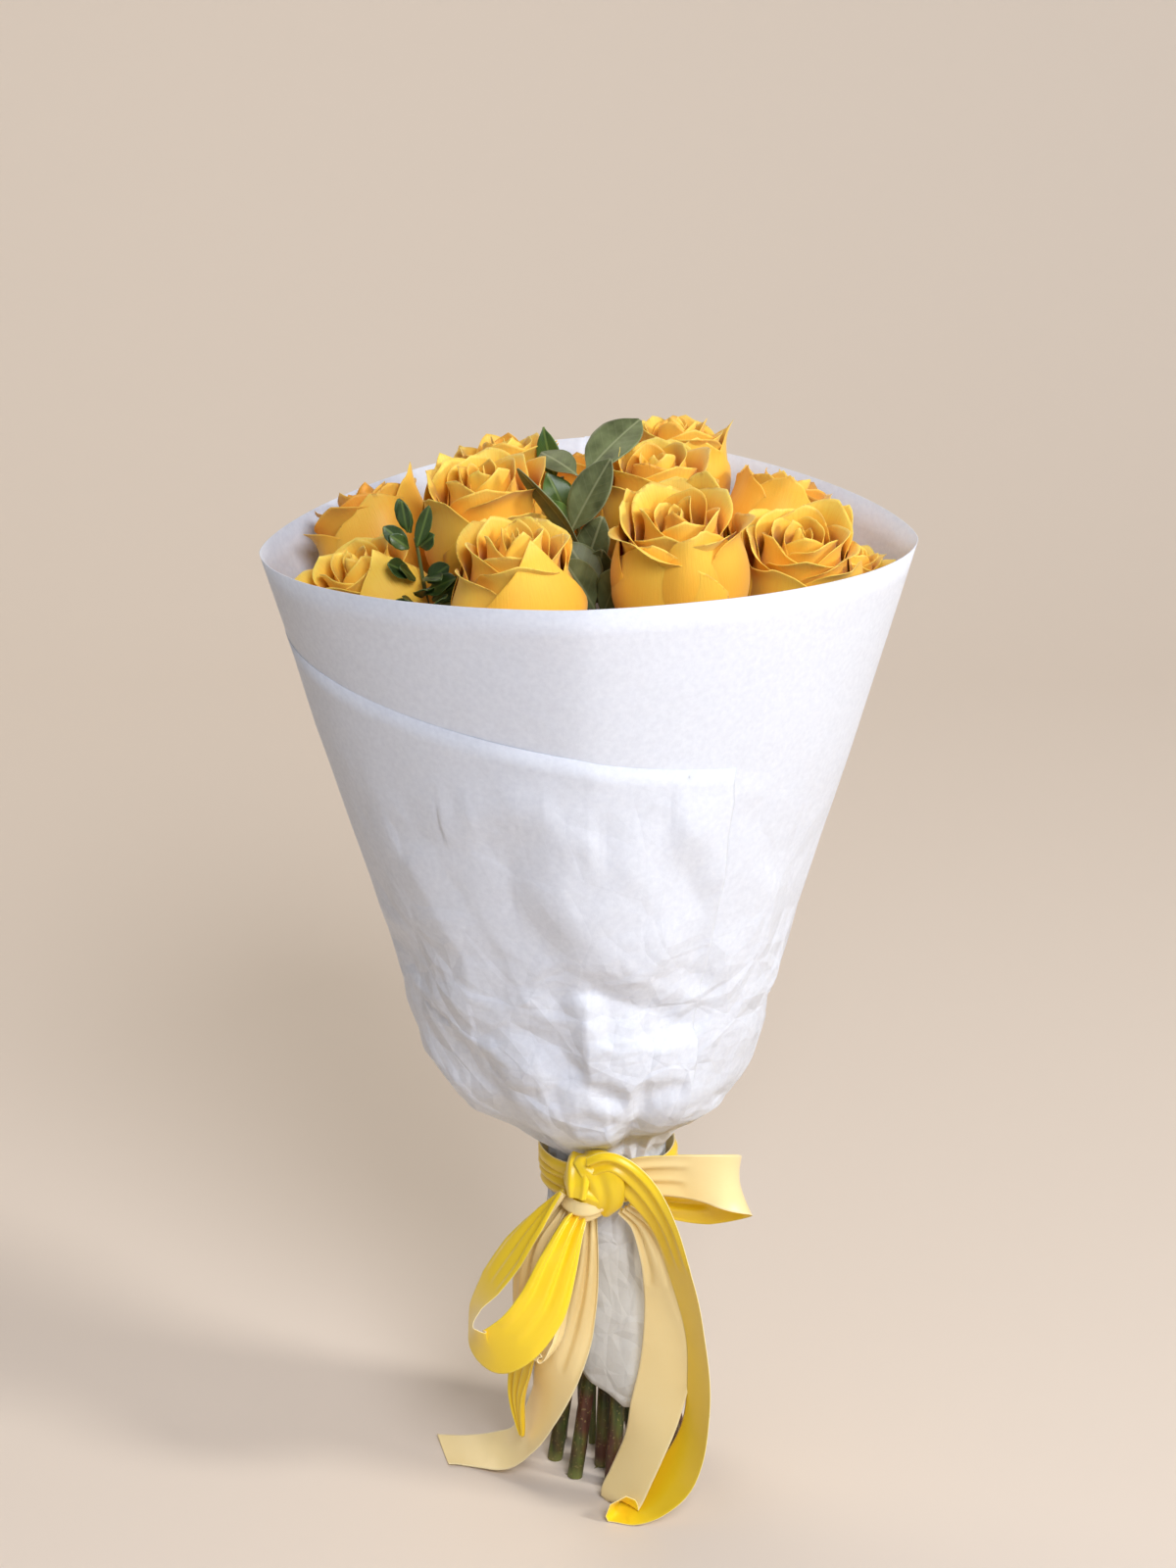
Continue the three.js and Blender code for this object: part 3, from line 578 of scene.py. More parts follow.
def makePaper():
    rng = np.random.default_rng(8)
    look = paperLook
    # columns stand closest across the front, where the outer turn shows
    spans = [(90, 180, 32), (180, 305, 46), (305, 350, 50), (350, 450, 44), (450, 560, 66), (560, 665, 162)]
    angle = np.concatenate([np.linspace(a, b, n, endpoint=False) for a, b, n in spans] + [[look["end"]]])
    rim = (438 + 3 * np.cos(np.radians(angle)) + 4 * np.sin(np.radians(angle))
           + 12 * np.sin(np.radians(angle)) ** 2)
    top = np.where(angle > 450, np.minimum(rim, np.interp(angle, flapEdge[:, 0], flapEdge[:, 1])), rim)
    bottom = np.interp(angle % 360, skirtEdge[:, 0], skirtEdge[:, 1])
    bottom = bottom + 1.5 * np.sin(np.radians(angle * 5)) + 1.0 * np.sin(np.radians(angle * 11 + 40))
    # rows: skirt, neck and shoulder, then the cone, closest where it is creased
    skirtRows = np.linspace(0, 1, 20, endpoint=False)[:, None]
    neckRows = np.linspace(110, 214, 36, endpoint=False)[:, None] + 0 * angle[None]
    creased = np.linspace(0, 0.42, 42, endpoint=False)
    eased = np.linspace(0.42, 0.68, 11, endpoint=False)
    coneShare = np.concatenate([creased, eased, np.linspace(0.68, 1, 7)])[:, None]
    height = np.concatenate([bottom + (110 - bottom) * skirtRows, neckRows, 214 + (top - 214) * coneShare])
    t = np.linspace(0, 1, len(height))
    turned = np.broadcast_to(angle, height.shape)
    layer = look["layerStep"] * (turned - look["start"]) / 360
    plain = wrapPoint(turned, height, layer)
    x, z = plain[..., 0], height
    frontness = smoothStep(0.05, 0.45, -np.sin(np.radians(turned)))
    outer = (turned > 305).astype(float)
    field = creaseField(x, z, frontness, creases)
    # gathered pleats at the neck: sharp, all inward, fading up the shoulder and opening below the tie
    a = np.radians(turned % 360)
    wander = 0.35 * np.sin(3 * a + 1) + 0.25 * np.sin(7 * a + 2)
    saw = np.abs(((look["pleats"] * (a + wander * 0.25) / (2 * math.pi)) % 1) - 0.5) * 2
    strength = 0.55 + 0.45 * np.sin(5 * a + 0.6)
    neck = smoothStep(96, 138, z) * (1 - smoothStep(164, 200, z))
    shoulder = smoothStep(160, 178, z) * (1 - smoothStep(186, 240, z))
    field -= look["pleatDepth"] * saw * strength * neck
    wide = np.abs(((11 * (a + 0.12 * np.sin(4 * a)) / (2 * math.pi)) % 1) - 0.5) * 2
    field -= (0.4 + 7.0 * wide * strength) * shoulder
    # the skirt hangs in sharp irregular folds
    skirt = 1 - smoothStep(100, 138, z)
    fold = np.abs(((8 * (a + 0.2 * np.sin(3 * a + 0.4) + 0.002 * z) / (2 * math.pi)) % 1) - 0.5) * 2
    skirtFacet = facets(np.degrees(a) * 0.55, z, rng, 40, (0, 18, 198, 140), 0.1, 0.006)
    field += skirt * (1.8 * (fold - 0.6) + np.clip(skirtFacet, -3.2, 3.0))
    # faint facets all over the cone, and a slow sag between the stems
    cone = smoothStep(196, 230, z)
    coneFacet = facets(x, z, rng, 60, (-140, 200, 140, 440), 0.03, 0.003)
    coneDepth = (0.2 + 0.8 * frontness) * (1 - 0.85 * smoothStep(280, 390, z))
    field += cone * coneDepth * np.clip(0.6 * coneFacet, -2.6, 1.2)
    tightFacet = facets(x, z, rng, 95, (-100, 160, 100, 290), 0.1, 0.009)
    tightDepth = smoothStep(166, 178, z) * (1 - smoothStep(262, 290, z))
    tightDepth = tightDepth * (1 - 0.75 * smoothStep(214, 262, z))
    field += tightDepth * np.clip(tightFacet, -3.6, 3.0)
    field += cone * 0.8 * np.sin(2.3 * a + 0.012 * z) * (1 - smoothStep(330, 430, z))
    field = np.clip(field, -7.5, 3.6)
    band = smoothStep(130, 138, z) * (1 - smoothStep(162, 170, z))
    field = np.where(band > 0, np.minimum(field, (1 - band) * 3.0), field)
    # the loose top edge and the free end of the second turn lie close on the first
    second = turned > 450
    freeEnd = smoothStep(640, 665, turned) * smoothStep(214, 240, z)
    closeness = np.maximum(smoothStep(top - 46, top - 3, z), freeEnd)
    field -= np.where(second, 1.35 * closeness, 0)
    field = np.where(~second & (turned > 180), np.minimum(field, 0.2), field)
    points = wrapPoint(turned, height, layer + field) * 0.001
    points[..., 2] = np.maximum(points[..., 2], 0.002)
    run = np.concatenate([[0], np.cumsum(np.linalg.norm(np.diff(points[-1], axis=0), axis=1))])
    climb = np.concatenate([np.zeros((1, len(angle))),
                            np.cumsum(np.linalg.norm(np.diff(points, axis=0), axis=2), 0)])
    uv = np.stack([np.broadcast_to(run, climb.shape), climb], -1)
    edge = np.maximum(smoothStep(0.985, 1, t)[:, None], smoothStep(0.02, 0, t)[:, None]) * np.ones_like(climb)
    handled = 0.22 + 0.78 * (1 - smoothStep(196, 320, z)) - 0.15 * smoothStep(330, 380, z)
    # the mark holds the sheet's top and bottom edge, the skirt below the tie that takes painted shade, and
    # how far the paper was crumpled
    mark = np.stack([edge, 1 - smoothStep(110, 150, z), handled, np.ones_like(z)], -1)
    gather = Gather()
    gather.add(points[:, ::-1], look["thickness"], uv[:, ::-1], mark[:, ::-1])
    return gather.piece("paper_sheet", [paperSurface])


paperSurface, paperTree, paperShader = newSurface(
    "uncoated wrapping paper, pressed pulp", Roughness=0.78, IOR=1.5, Subsurface_Weight=0.12,
    Subsurface_Radius=(0.0012, 0.001, 0.0008), Subsurface_Scale=1.0,
)


def paintPaper():
    tree = paperTree
    _, body, _, skirt, handled, _ = surfacePlaces(tree)
    pulp = colourAlong(tree, noise(tree, body, 420.0, 4.0), [(0.3, "#D9DDE6"), (0.7, "#E2E6EE")])
    clouded = mixColour(tree, times(tree, noise(tree, body, 12.0, 3.0), 0.12), pulp, "#CCD0DA")
    # painted shade: the skirt below the tie is greyed towards #B5B0A2, for the stems that darken it from
    # behind the thin paper
    paintedSkirtShade = mixColour(tree, times(tree, skirt, 0.75), clouded, "#B5B0A2")
    relief = doMath(tree, "ADD", times(tree, noise(tree, body, 1500.0, 3.0), 0.00005),
                    times(tree, noise(tree, body, 22.0, 1.0), 0.0009))
    # crumpled where hands gathered it: flat cells that meet in sharp folds
    warp = addNode(tree, "ShaderNodeTexNoise", {"Vector": body, "Scale": 9.0, "Detail": 1.0})
    warped = mixColour(tree, 0.06, body, warp.outputs["Color"])
    crumple = 0.0
    for scale, reach in paperLook["crumple"]:
        cells = addNode(tree, "ShaderNodeTexVoronoi", {"Vector": warped, "Scale": scale},
                        feature="DISTANCE_TO_EDGE")
        crumple = doMath(tree, "ADD", times(tree, cells.outputs["Distance"], reach), crumple)
    height = doMath(tree, "ADD", relief, times(tree, crumple, handled))
    finishSurface(tree, paperShader, paintedSkirtShade, height, 0.8, 1.0)


paintPaper()
paper = makePaper()
rideAs(paper, ["paper_wrap"])
print("paper done:", len(paper.data.polygons), "faces")


# satin ribbon: the bow's loops and tails are closed thin strips, yellow on one face and cream on the other
def paintSatin(name, base, glow, shade, roughness):
    material, tree, shader = newSurface(
        name, Roughness=roughness, IOR=1.54, Anisotropic=0.65, Sheen_Weight=0.2, Sheen_Roughness=0.35,
        Coat_Weight=0.2, Coat_Roughness=0.32,
    )
    flat, body, sideways, _, _, _ = surfacePlaces(tree)
    # warp threads run along the ribbon every 0.25 mm, weft floats cross them
    threads = stretched(tree, flat, (4000, 260, 1), 1.0)
    floats = stretched(tree, flat, (500, 3200, 1), 1.0)
    first = mixColour(tree, times(tree, threads, 0.35), base, glow)
    second = mixColour(tree, times(tree, noise(tree, body, 35.0, 2.0), 0.45), first, shade)
    selvedge = times(tree, remap(tree, sideways, 0.9, 1.0), 0.5)
    relief = doMath(tree, "ADD", times(tree, threads, 0.7), times(tree, floats, 0.4))
    finishSurface(tree, shader, mixColour(tree, selvedge, second, glow), relief, 0.25, 0.0001)
    return material


yellowSatin = paintSatin("yellow satin, woven polyester", "#FCD616", "#FFE840", "#F2C60E", 0.34)
creamSatin = paintSatin("cream satin, woven polyester", "#FBE3A2", "#FFF3C8", "#F2D382", 0.38)

# rows: middle of the ribbon in millimetres, the way its width points, and its width where it is gathered;
# they follow the CAD, but the right loop's far end is turned about 40 degrees from it, the long loop's
# lowest turn about 20, and points there are up to 4 mm away; up is the face whose material comes first
ribbonLooks = {
    "ribbon_loop_right": {"length": 0.136, "faces": (1, 0), "seed": 1, "rows": [
        (11.5, -40, 160, 0, -0.3, 1, 14), (24, -41.5, 162.5, 0, -0.3, 1, 22),
        (43, -42.5, 163, -0.03, -0.25, 1, 25), (60, -39, 159, -0.14, -0.08, 1, 25),
        (68, -30, 151, -0.26, 0.12, 1, 25), (65, -20, 143.5, -0.3, 0.25, 1, 25),
        (53, -18, 140, -0.15, 0.2, 1, 25), (38, -25, 143.5, 0, 0.05, 1, 20),
        (25, -32, 149, 0.1, 0, 1, 12), (14, -34, 151, 0.1, 0, 1, 8)]},
    "ribbon_loop_long": {"length": 0.338, "faces": (0, 1), "seed": 2, "rows": [
        (2, -48.5, 167, -0.4, -0.1, 1, 16), (10, -50.5, 170, -0.1, -0.2, 1, 18),
        (20, -52, 163, 0.4, -0.45, 0.8, 21), (31.5, -54, 146, 0.45, -0.75, 0.5, 24),
        (40, -56, 124, 0.42, -0.88, 0.25, 25), (46, -58, 99, 0.38, -0.92, 0.05, 25),
        (49, -59, 79, 0.38, -0.92, 0, 25), (49, -59, 58, 0.38, -0.92, -0.05, 25),
        (46.5, -58.5, 38, 0.42, -0.9, -0.15, 25), (40, -57.5, 22, 0.45, -0.88, -0.2, 25),
        (30, -56, 11, 0.42, -0.9, -0.2, 25), (20.5, -53.5, 5, 0.35, -0.93, -0.15, 25),
        (14, -51, 4, 0.5, -0.85, -0.3, 25), (17.5, -49, 12, 0.65, -0.75, -0.1, 25),
        (25, -46.5, 30, 0.68, -0.73, 0, 25), (30, -44.5, 48, 0.85, -0.5, 0, 25),
        (34.5, -42.5, 67, 0.92, -0.38, 0, 25), (36.5, -41.5, 87, 0.92, -0.35, 0, 25),
        (36, -40.8, 107, 0.92, -0.35, 0, 25), (32, -40.5, 124, 0.92, -0.35, 0.05, 20),
        (25, -39.8, 138, 0.85, -0.4, 0.2, 14), (16, -40, 146, 0.8, -0.4, 0.3, 9)]},
    "ribbon_loop_left": {"length": 0.17, "faces": (0, 1), "seed": 3, "rows": [
        (-10.5, -41, 155, 0.4, -0.5, 0.7, 8), (-21, -40, 141, 0.45, -0.8, 0.3, 18),
        (-33, -40, 124, 0.4, -0.9, 0.1, 24), (-43, -42, 110, 0.4, -0.85, 0.25, 25),
        (-50, -45.5, 99, 0.25, -0.8, 0.5, 25), (-51, -51, 89, 0, -0.5, 0.85, 25),
        (-43, -57, 84, -0.3, -0.15, 0.95, 25), (-32, -61, 92, -0.45, 0, 0.8, 25),
        (-21, -60.5, 107, -0.6, -0.05, 0.65, 24), (-13, -56.5, 127, -0.8, -0.2, 0.4, 19),
        (-7, -50.5, 141, -0.9, -0.3, 0.1, 12), (-4, -46, 145, -0.9, -0.3, 0, 8)]},
    "ribbon_loop_inner": {"length": 0.156, "faces": (1, 1), "seed": 4, "rows": [
        (-9, -36, 147, 0.6, -0.5, 0.3, 7), (-14, -36.5, 140, 0.6, -0.75, 0.2, 13),
        (-23, -38.5, 127, 0.55, -0.83, 0.1, 21), (-27.5, -41, 105, 0.5, -0.86, 0, 23),
        (-27, -44.5, 86, 0.45, -0.86, 0.15, 23), (-21, -47, 75, 0.2, -0.8, 0.55, 23),
        (-14.5, -46.5, 83, -0.25, -0.88, 0.4, 22), (-11.5, -45, 100, -0.4, -0.9, 0.1, 18),
        (-9.5, -43, 119, -0.6, -0.75, 0, 14), (-7.5, -41, 136, -0.8, -0.5, 0, 10),
        (-5.5, -40, 143, -0.9, -0.3, 0, 7)]},
    "ribbon_tail_yellow": {"length": 0.124, "faces": (0, 0), "seed": 5, "rows": [
        (-10.5, -30, 143, 0.9, -0.4, 0, 8), (-16.5, -30.5, 116, 0.8, -0.6, 0, 15),
        (-24.5, -25.5, 86, 0.55, -0.8, 0, 20), (-30, -23.5, 58, 0.45, -0.85, 0, 20),
        (-32, -23.5, 42, 0.5, -0.85, 0, 13), (-30, -24, 22, 0.6, -0.8, 0, 2)]},
    "ribbon_tail_cream": {"length": 0.187, "faces": (1, 1), "seed": 6, "rows": [
        (0, -34.5, 142, 0.95, -0.2, 0, 8), (-2, -34.5, 112, 0.95, -0.3, 0, 14),
        (-8, -32.5, 82, 0.95, -0.3, 0, 22), (-14, -31, 60, 0.75, -0.6, 0, 25),
        (-20, -28, 40, 0.5, -0.85, 0.1, 25), (-27, -21, 23, 0.35, -0.93, 0.12, 25),
        (-36, -13, 10, 0.25, -0.95, 0.05, 25), (-46, -6, 4.2, 0.2, -0.98, 0, 25),
        (-57, -2, 1.4, 0.2, -0.98, 0, 25), (-72, 0, 1, 0.2, -0.98, 0, 25)]},
}
ribbonWidth = 0.025


# centripetal curve through the points, sampled evenly in the curve's own parameter
def smoothCurve(points, steps):
    first = 2 * points[0] - points[1]
    last = 2 * points[-1] - points[-2]
    guide = np.vstack([first, points, last])
    made = []
    for i in range(steps):
        place = i / (steps - 1) * (len(points) - 1)
        k = min(int(place), len(points) - 2)
        p = guide[k:k + 4]
        gaps = np.maximum(np.linalg.norm(np.diff(p, axis=0), axis=1) ** 0.5, 1e-6)
        m1 = (p[1] - p[0]) / gaps[0] - (p[2] - p[0]) / (gaps[0] + gaps[1]) + (p[2] - p[1]) / gaps[1]
        m2 = (p[2] - p[1]) / gaps[1] - (p[3] - p[1]) / (gaps[1] + gaps[2]) + (p[3] - p[2]) / gaps[2]
        m1, m2 = m1 * gaps[1], m2 * gaps[1]
        t = place - k
        made.append((2 * t ** 3 - 3 * t ** 2 + 1) * p[1] + (t ** 3 - 2 * t ** 2 + t) * m1
                    + (-2 * t ** 3 + 3 * t ** 2) * p[2] + (t ** 3 - t ** 2) * m2)
    return np.array(made)


def ribbonGrid(rows, steps, columns, rng, cupping=0.0006, folding=1.0, foldCount=9):
    rows = np.array(rows, dtype=float)
    middle = smoothCurve(rows[:, :3] * 0.001, steps)
    spread = smoothCurve(unit(rows[:, 3:6]), steps)
    width = np.interp(np.linspace(0, len(rows) - 1, steps), np.arange(len(rows)), rows[:, 6]) * 0.001
    tangent = unit(np.gradient(middle, axis=0))
    across = unit(spread - (spread * tangent).sum(1, keepdims=True) * tangent)
    normal = np.cross(tangent, across)
    u = np.linspace(-1, 1, columns)
    gather = np.clip(1 - width / ribbonWidth, 0, 0.8)
    step = np.concatenate([[0], np.cumsum(np.linalg.norm(np.diff(middle, axis=0), axis=1))])
    a, b, c = rng.uniform(0, 6.28, 3)
    # where the ribbon is gathered it stands in lengthwise folds that hold its full width
    spare = np.sqrt(np.maximum(ribbonWidth / width - 1, 0))
    folds = np.sin(foldCount * u[None] + a) + 0.25 * np.sin(1.9 * foldCount * u[None] + b)
    folds = folds * (folding * 0.115 * width * spare)[:, None]
    wave = 0.0005 * np.sin(step[:, None] * 95 + c + 1.2 * u[None]) * np.sin(step[:, None] * 38 + a)
    cup = cupping * (u[None] ** 2 - 0.4)
    lift = np.clip(folds + wave + cup, -0.0021, 0.0021)
    points = (middle[:, None] + across[:, None] * (u[None, :, None] * width[:, None, None] / 2)
              + normal[:, None] * lift[..., None])
    uv = stacked(u[None] * ribbonWidth / 2, step[:, None])
    mark = stacked(np.abs(u)[None], gather[:, None], 0.0, 1.0)
    return points, uv, mark


def makeRibbon(name, look):
    rng = np.random.default_rng(look["seed"])
    steps = int(look["length"] / 0.0011)
    points, uv, mark = ribbonGrid(look["rows"], steps, 29, rng)
    if name == "ribbon_tail_cream":  # cut on the slant
        sideways = np.linspace(-1, 1, points.shape[1])
        slant = np.linspace(0, 1, steps)[:, None] ** 12 * (sideways[None] + 1) * 0.5
        points = points + (points[-14] - points[-1])[None] * slant[..., None] * 0.9
    points[..., 2] = np.maximum(points[..., 2], 0.0006)
    gather = Gather()
    gather.add(points, 0.0003, uv, mark, look["faces"][1], look["faces"][0])
    piece = gather.piece(name.replace("ribbon_", "satin_"), [yellowSatin, creamSatin])
    rideAs(piece, [name])
    return piece


for ribbonName, ribbonLook in ribbonLooks.items():
    makeRibbon(ribbonName, ribbonLook)


print("ribbons done:", len(ribbonLooks))


# the knot: short gathered strips drawn tight over a folded core
knotLook = {
    "seed": 12, "centre": (1, -40, 157.5), "half": (7.2, 5.4, 10.5),
    "strips": [
        ((0, 1), [(-8.5, -34, 160, 0.2, -0.3, 0.9, 10), (-8.5, -42, 160, 0.3, -0.3, 0.9, 13),
                  (-4, -47.5, 158, 0.4, -0.3, 0.8, 14), (2, -49.5, 155, 0.5, -0.2, 0.8, 12),
                  (8, -46.5, 152, 0.3, 0, 0.9, 10), (11, -39, 153, 0, 0, 1, 9)]),
        ((1, 0), [(-10, -33, 149.5, 0, -0.2, 1, 10), (-10, -40, 148.5, -0.1, -0.3, 1, 12),
                  (-5, -46.8, 147.5, -0.1, -0.4, 1, 12), (1.5, -48.6, 148, 0, -0.4, 1, 10),
                  (8, -45, 149.5, 0.1, -0.3, 1, 9), (11, -37, 151, 0.1, 0, 1, 8)]),
        ((0, 1), [(-3.5, -35, 170, 1, 0.2, 0.1, 10), (-4.5, -44, 169.5, 0.9, -0.3, 0.3, 12),
                  (-5.2, -49, 162, 0.9, -0.3, 0.3, 11), (-5.5, -49.5, 155.5, 0.9, -0.4, 0.2, 9)]),
        ((0, 1), [(-2, -33, 169, 0.8, 0.4, 0.2, 13), (1, -42, 172.2, 0.85, 0.2, 0.2, 16),
                  (5, -48.6, 169, 0.85, -0.1, 0.25, 17), (8, -51, 161, 0.85, -0.15, 0.3, 16),
                  (8.5, -49.5, 152.5, 0.85, -0.2, 0.2, 13), (6, -45, 146, 0.9, -0.2, 0, 9)]),
    ],
}


def makeKnot():
    rng = np.random.default_rng(knotLook["seed"])
    gather = Gather()
    turn = np.linspace(0, 2 * math.pi, 49)
    rise = np.linspace(-0.49 * math.pi, 0.49 * math.pi, 25)
    swell = 1 + 0.09 * np.abs(np.sin(4.5 * turn[None] + 2 * rise[:, None]))
    core = stacked(np.cos(rise)[:, None] * np.cos(turn)[None] * swell,
                   np.cos(rise)[:, None] * np.sin(turn)[None] * swell, np.sin(rise)[:, None])
    core = (core * np.array(knotLook["half"]) + np.array(knotLook["centre"])) * 0.001
    flat = stacked(turn * 0.007, rise[:, None] * 0.01)
    gather.add(core[:, ::-1], 0.0003, flat, np.full(swell.shape + (4,), 0.4))
    for faces, rows in knotLook["strips"]:
        points, uv, mark = ribbonGrid(rows, 44, 29, rng, -0.0014, 0.45, 5)
        gather.add(points, 0.0003, uv, mark, faces[1], faces[0])
    piece = gather.piece("satin_knot", [yellowSatin, creamSatin])
    rideAs(piece, ["ribbon_knot"])


# the band: two crumpled turns round the gathered neck
bandLook = {"seed": 9, "centre": (9, 0), "radius": 29.4, "height": 150, "width": 16.5, "length": 0.37}


def makeBand():
    rng = np.random.default_rng(bandLook["seed"])
    rows = []
    for i in range(49):
        turn = math.radians(-96 + 15 * i)
        radius = bandLook["radius"] + 0.9 * (i > 24) + 0.25 * math.sin(5 * turn)
        height = bandLook["height"] + 3.2 * math.sin(turn + 2.2 + (i > 24) * 1.7)
        width = bandLook["width"] + 2.0 * math.sin(3 * turn)
        rows.append((bandLook["centre"][0] + radius * math.cos(turn), radius * math.sin(turn), height,
                     0.15 * math.cos(turn), 0.15 * math.sin(turn), 1, width))
    points, uv, mark = ribbonGrid(rows, 380, 21, rng, 0.0004, 0.8, 6)
    centre = np.array([*bandLook["centre"], 0]) * 0.001
    reach = np.hypot(points[..., 0] - centre[0], points[..., 1])
    push = np.clip(reach, 0.0286, 0.0312) / reach
    points[..., 0] = centre[0] + (points[..., 0] - centre[0]) * push
    points[..., 1] *= push
    gather = Gather()
    gather.add(points, 0.0003, uv, mark, 1, 0)
    piece = gather.piece("satin_neck_band", [yellowSatin, creamSatin])
    rideAs(piece, ["ribbon_neck_band"])


makeKnot()
makeBand()
print("knot and band done")


# stems: a Geometry Nodes tree sweeps a round section along each centre line and sets thorn stubs on it
def stemTree():
    tree = bpy.data.node_groups.new("stem along its centre line", "GeometryNodeTree")
    face = tree.interface
    face.new_socket("Geometry", in_out="INPUT", socket_type="NodeSocketGeometry")
    for name, kind, value in (("Sides", "Int", 16), ("Thorns", "Int", 6), ("Thorn Size", "Float", 0.0022),
                              ("Knobbliness", "Float", 0.0003), ("Seed", "Int", 1),
                              ("Surface", "Material", None)):
        socket = face.new_socket(name, in_out="INPUT", socket_type="NodeSocket" + kind)
        if value is not None:
            socket.default_value = value
    face.new_socket("Geometry", in_out="OUTPUT", socket_type="NodeSocketGeometry")
    given = addNode(tree, "NodeGroupInput").outputs
    section = addNode(tree, "GeometryNodeCurvePrimitiveCircle", {"Resolution": given["Sides"], "Radius": 1.0})
    thick = addNode(tree, "GeometryNodeInputRadius")
    tube = addNode(tree, "GeometryNodeCurveToMesh", {
        "Curve": given["Geometry"], "Profile Curve": section.outputs["Curve"],
        "Scale": thick.outputs["Radius"], "Fill Caps": True})
    place = addNode(tree, "GeometryNodeInputPosition")
    outward = addNode(tree, "GeometryNodeInputNormal")
    lump = doMath(tree, "SUBTRACT", noise(tree, place.outputs["Position"], 95.0, 2.0), 0.62)
    shift = addNode(tree, "ShaderNodeVectorMath", {
        0: outward.outputs["Normal"], "Scale": times(tree, lump, given["Knobbliness"])}, operation="SCALE")
    bumpy = addNode(tree, "GeometryNodeSetPosition", {
        "Geometry": tube.outputs["Mesh"], "Offset": shift.outputs["Vector"]})
    spots = addNode(tree, "GeometryNodeCurveToPoints", {"Curve": given["Geometry"], "Count": given["Thorns"]})
    chance = addNode(tree, "FunctionNodeRandomValue", {2: 0.0, 3: 6.283, "Seed": given["Seed"]})
    aim = addNode(tree, "ShaderNodeVectorRotate", {
        "Vector": spots.outputs["Normal"], "Axis": spots.outputs["Tangent"], "Angle": chance.outputs[1]})
    droop = addNode(tree, "ShaderNodeVectorMath", {0: spots.outputs["Tangent"], 1: (-0.5, -0.5, -0.5)},
                    operation="MULTIPLY")
    point = addNode(tree, "ShaderNodeVectorMath", {0: aim.outputs["Vector"], 1: droop.outputs["Vector"]},
                    operation="ADD")
    turn = addNode(tree, "FunctionNodeAlignRotationToVector", {"Vector": point.outputs["Vector"]}, axis="Z")
    lift = addNode(tree, "ShaderNodeVectorMath", {
        0: aim.outputs["Vector"], "Scale": times(tree, thick.outputs["Radius"], 0.75)}, operation="SCALE")
    seated = addNode(tree, "GeometryNodeSetPosition", {
        "Geometry": spots.outputs["Points"], "Offset": lift.outputs["Vector"]})
    thorn = addNode(tree, "GeometryNodeMeshCone", {
        "Vertices": 8, "Side Segments": 2, "Radius Top": 0.00008, "Radius Bottom": 0.0009,
        "Depth": given["Thorn Size"]})
    thorns = addNode(tree, "GeometryNodeInstanceOnPoints", {
        "Points": seated.outputs["Geometry"], "Instance": thorn.outputs["Mesh"],
        "Rotation": turn.outputs["Rotation"]})
    whole = addNode(tree, "GeometryNodeRealizeInstances", {"Geometry": thorns.outputs["Instances"]})
    joined = addNode(tree, "GeometryNodeJoinGeometry")
    tree.links.new(whole.outputs["Geometry"], joined.inputs["Geometry"])
    tree.links.new(bumpy.outputs["Geometry"], joined.inputs["Geometry"])
    smooth = addNode(tree, "GeometryNodeSetShadeSmooth", {"Geometry": joined.outputs["Geometry"]})
    dressed = addNode(tree, "GeometryNodeSetMaterial", {
        "Geometry": smooth.outputs["Geometry"], "Material": given["Surface"]})
    addNode(tree, "NodeGroupOutput", {"Geometry": dressed.outputs["Geometry"]})
    return tree


# run a tree on a curve of points and radii, and keep the finished mesh
def growAlong(tree, name, points, radii, settings):
    curve = bpy.data.curves.new(name + "_line", "CURVE")
    curve.dimensions = "3D"
    spline = curve.splines.new("POLY")
    spline.points.add(len(points) - 1)
    for i, (p, r) in enumerate(zip(points, radii)):
        spline.points[i].co = (*p, 1)
        spline.points[i].radius = r
    guide = bpy.data.objects.new(name + "_guide", curve)
    bpy.context.collection.objects.link(guide)
    modifier = guide.modifiers.new("grow", "NODES")
    modifier.node_group = tree
    for item in tree.interface.items_tree:
        if item.in_out == "INPUT" and item.name in settings:
            modifier[item.identifier] = settings[item.name]
    view = bpy.context.evaluated_depsgraph_get()
    mesh = bpy.data.meshes.new_from_object(guide.evaluated_get(view))
    mesh.name = name
    bpy.data.objects.remove(guide)
    piece = bpy.data.objects.new(name, mesh)
    bpy.context.collection.objects.link(piece)
    return piece


def paintStem(name, greens, reds, redness):
    material, tree, shader = newSurface(name, Roughness=0.5, IOR=1.42, Coat_Weight=0.15, Coat_Roughness=0.35)
    body = addNode(tree, "ShaderNodeTexCoord").outputs["Object"]
    run = stretched(tree, body, (420, 420, 26), 3.0)
    flushed = remap(tree, noise(tree, body, 55.0, 2.0), 0.62 - redness, 0.72 - redness * 0.6)
    barked = mixColour(tree, flushed, colourAlong(tree, run, greens), colourAlong(tree, run, reds))
    height = addNode(tree, "ShaderNodeSeparateXYZ", {"Vector": body}).outputs["Z"]
    ended = mixColour(tree, remap(tree, height, 0.006, 0.0004, 0.5), barked, "#8A8A4A")  # pale at the cut
    lenticel = times(tree, doMath(tree, "GREATER_THAN", noise(tree, body, 700.0, 1.0), 0.66), 0.35)
    finishSurface(tree, shader, mixColour(tree, lenticel, ended, "#A08F58"), run, 0.5, 0.0003)
    return material


roseBark = paintStem("rose stem, waxy green bark flushed red", [(0.3, "#2F3A16"), (0.7, "#596628")],
                     [(0.3, "#35190F"), (0.7, "#623A28")], 0.26)


sprigBark = paintStem("greenery stem, thin olive bark", [(0.3, "#4B5128"), (0.7, "#737A44")],
                      [(0.3, "#4C3324"), (0.7, "#6E4E36")], 0.08)


stemLook = {"sides": 18, "thorns": 7, "thornSize": 0.0026, "knobbliness": 0.0007}


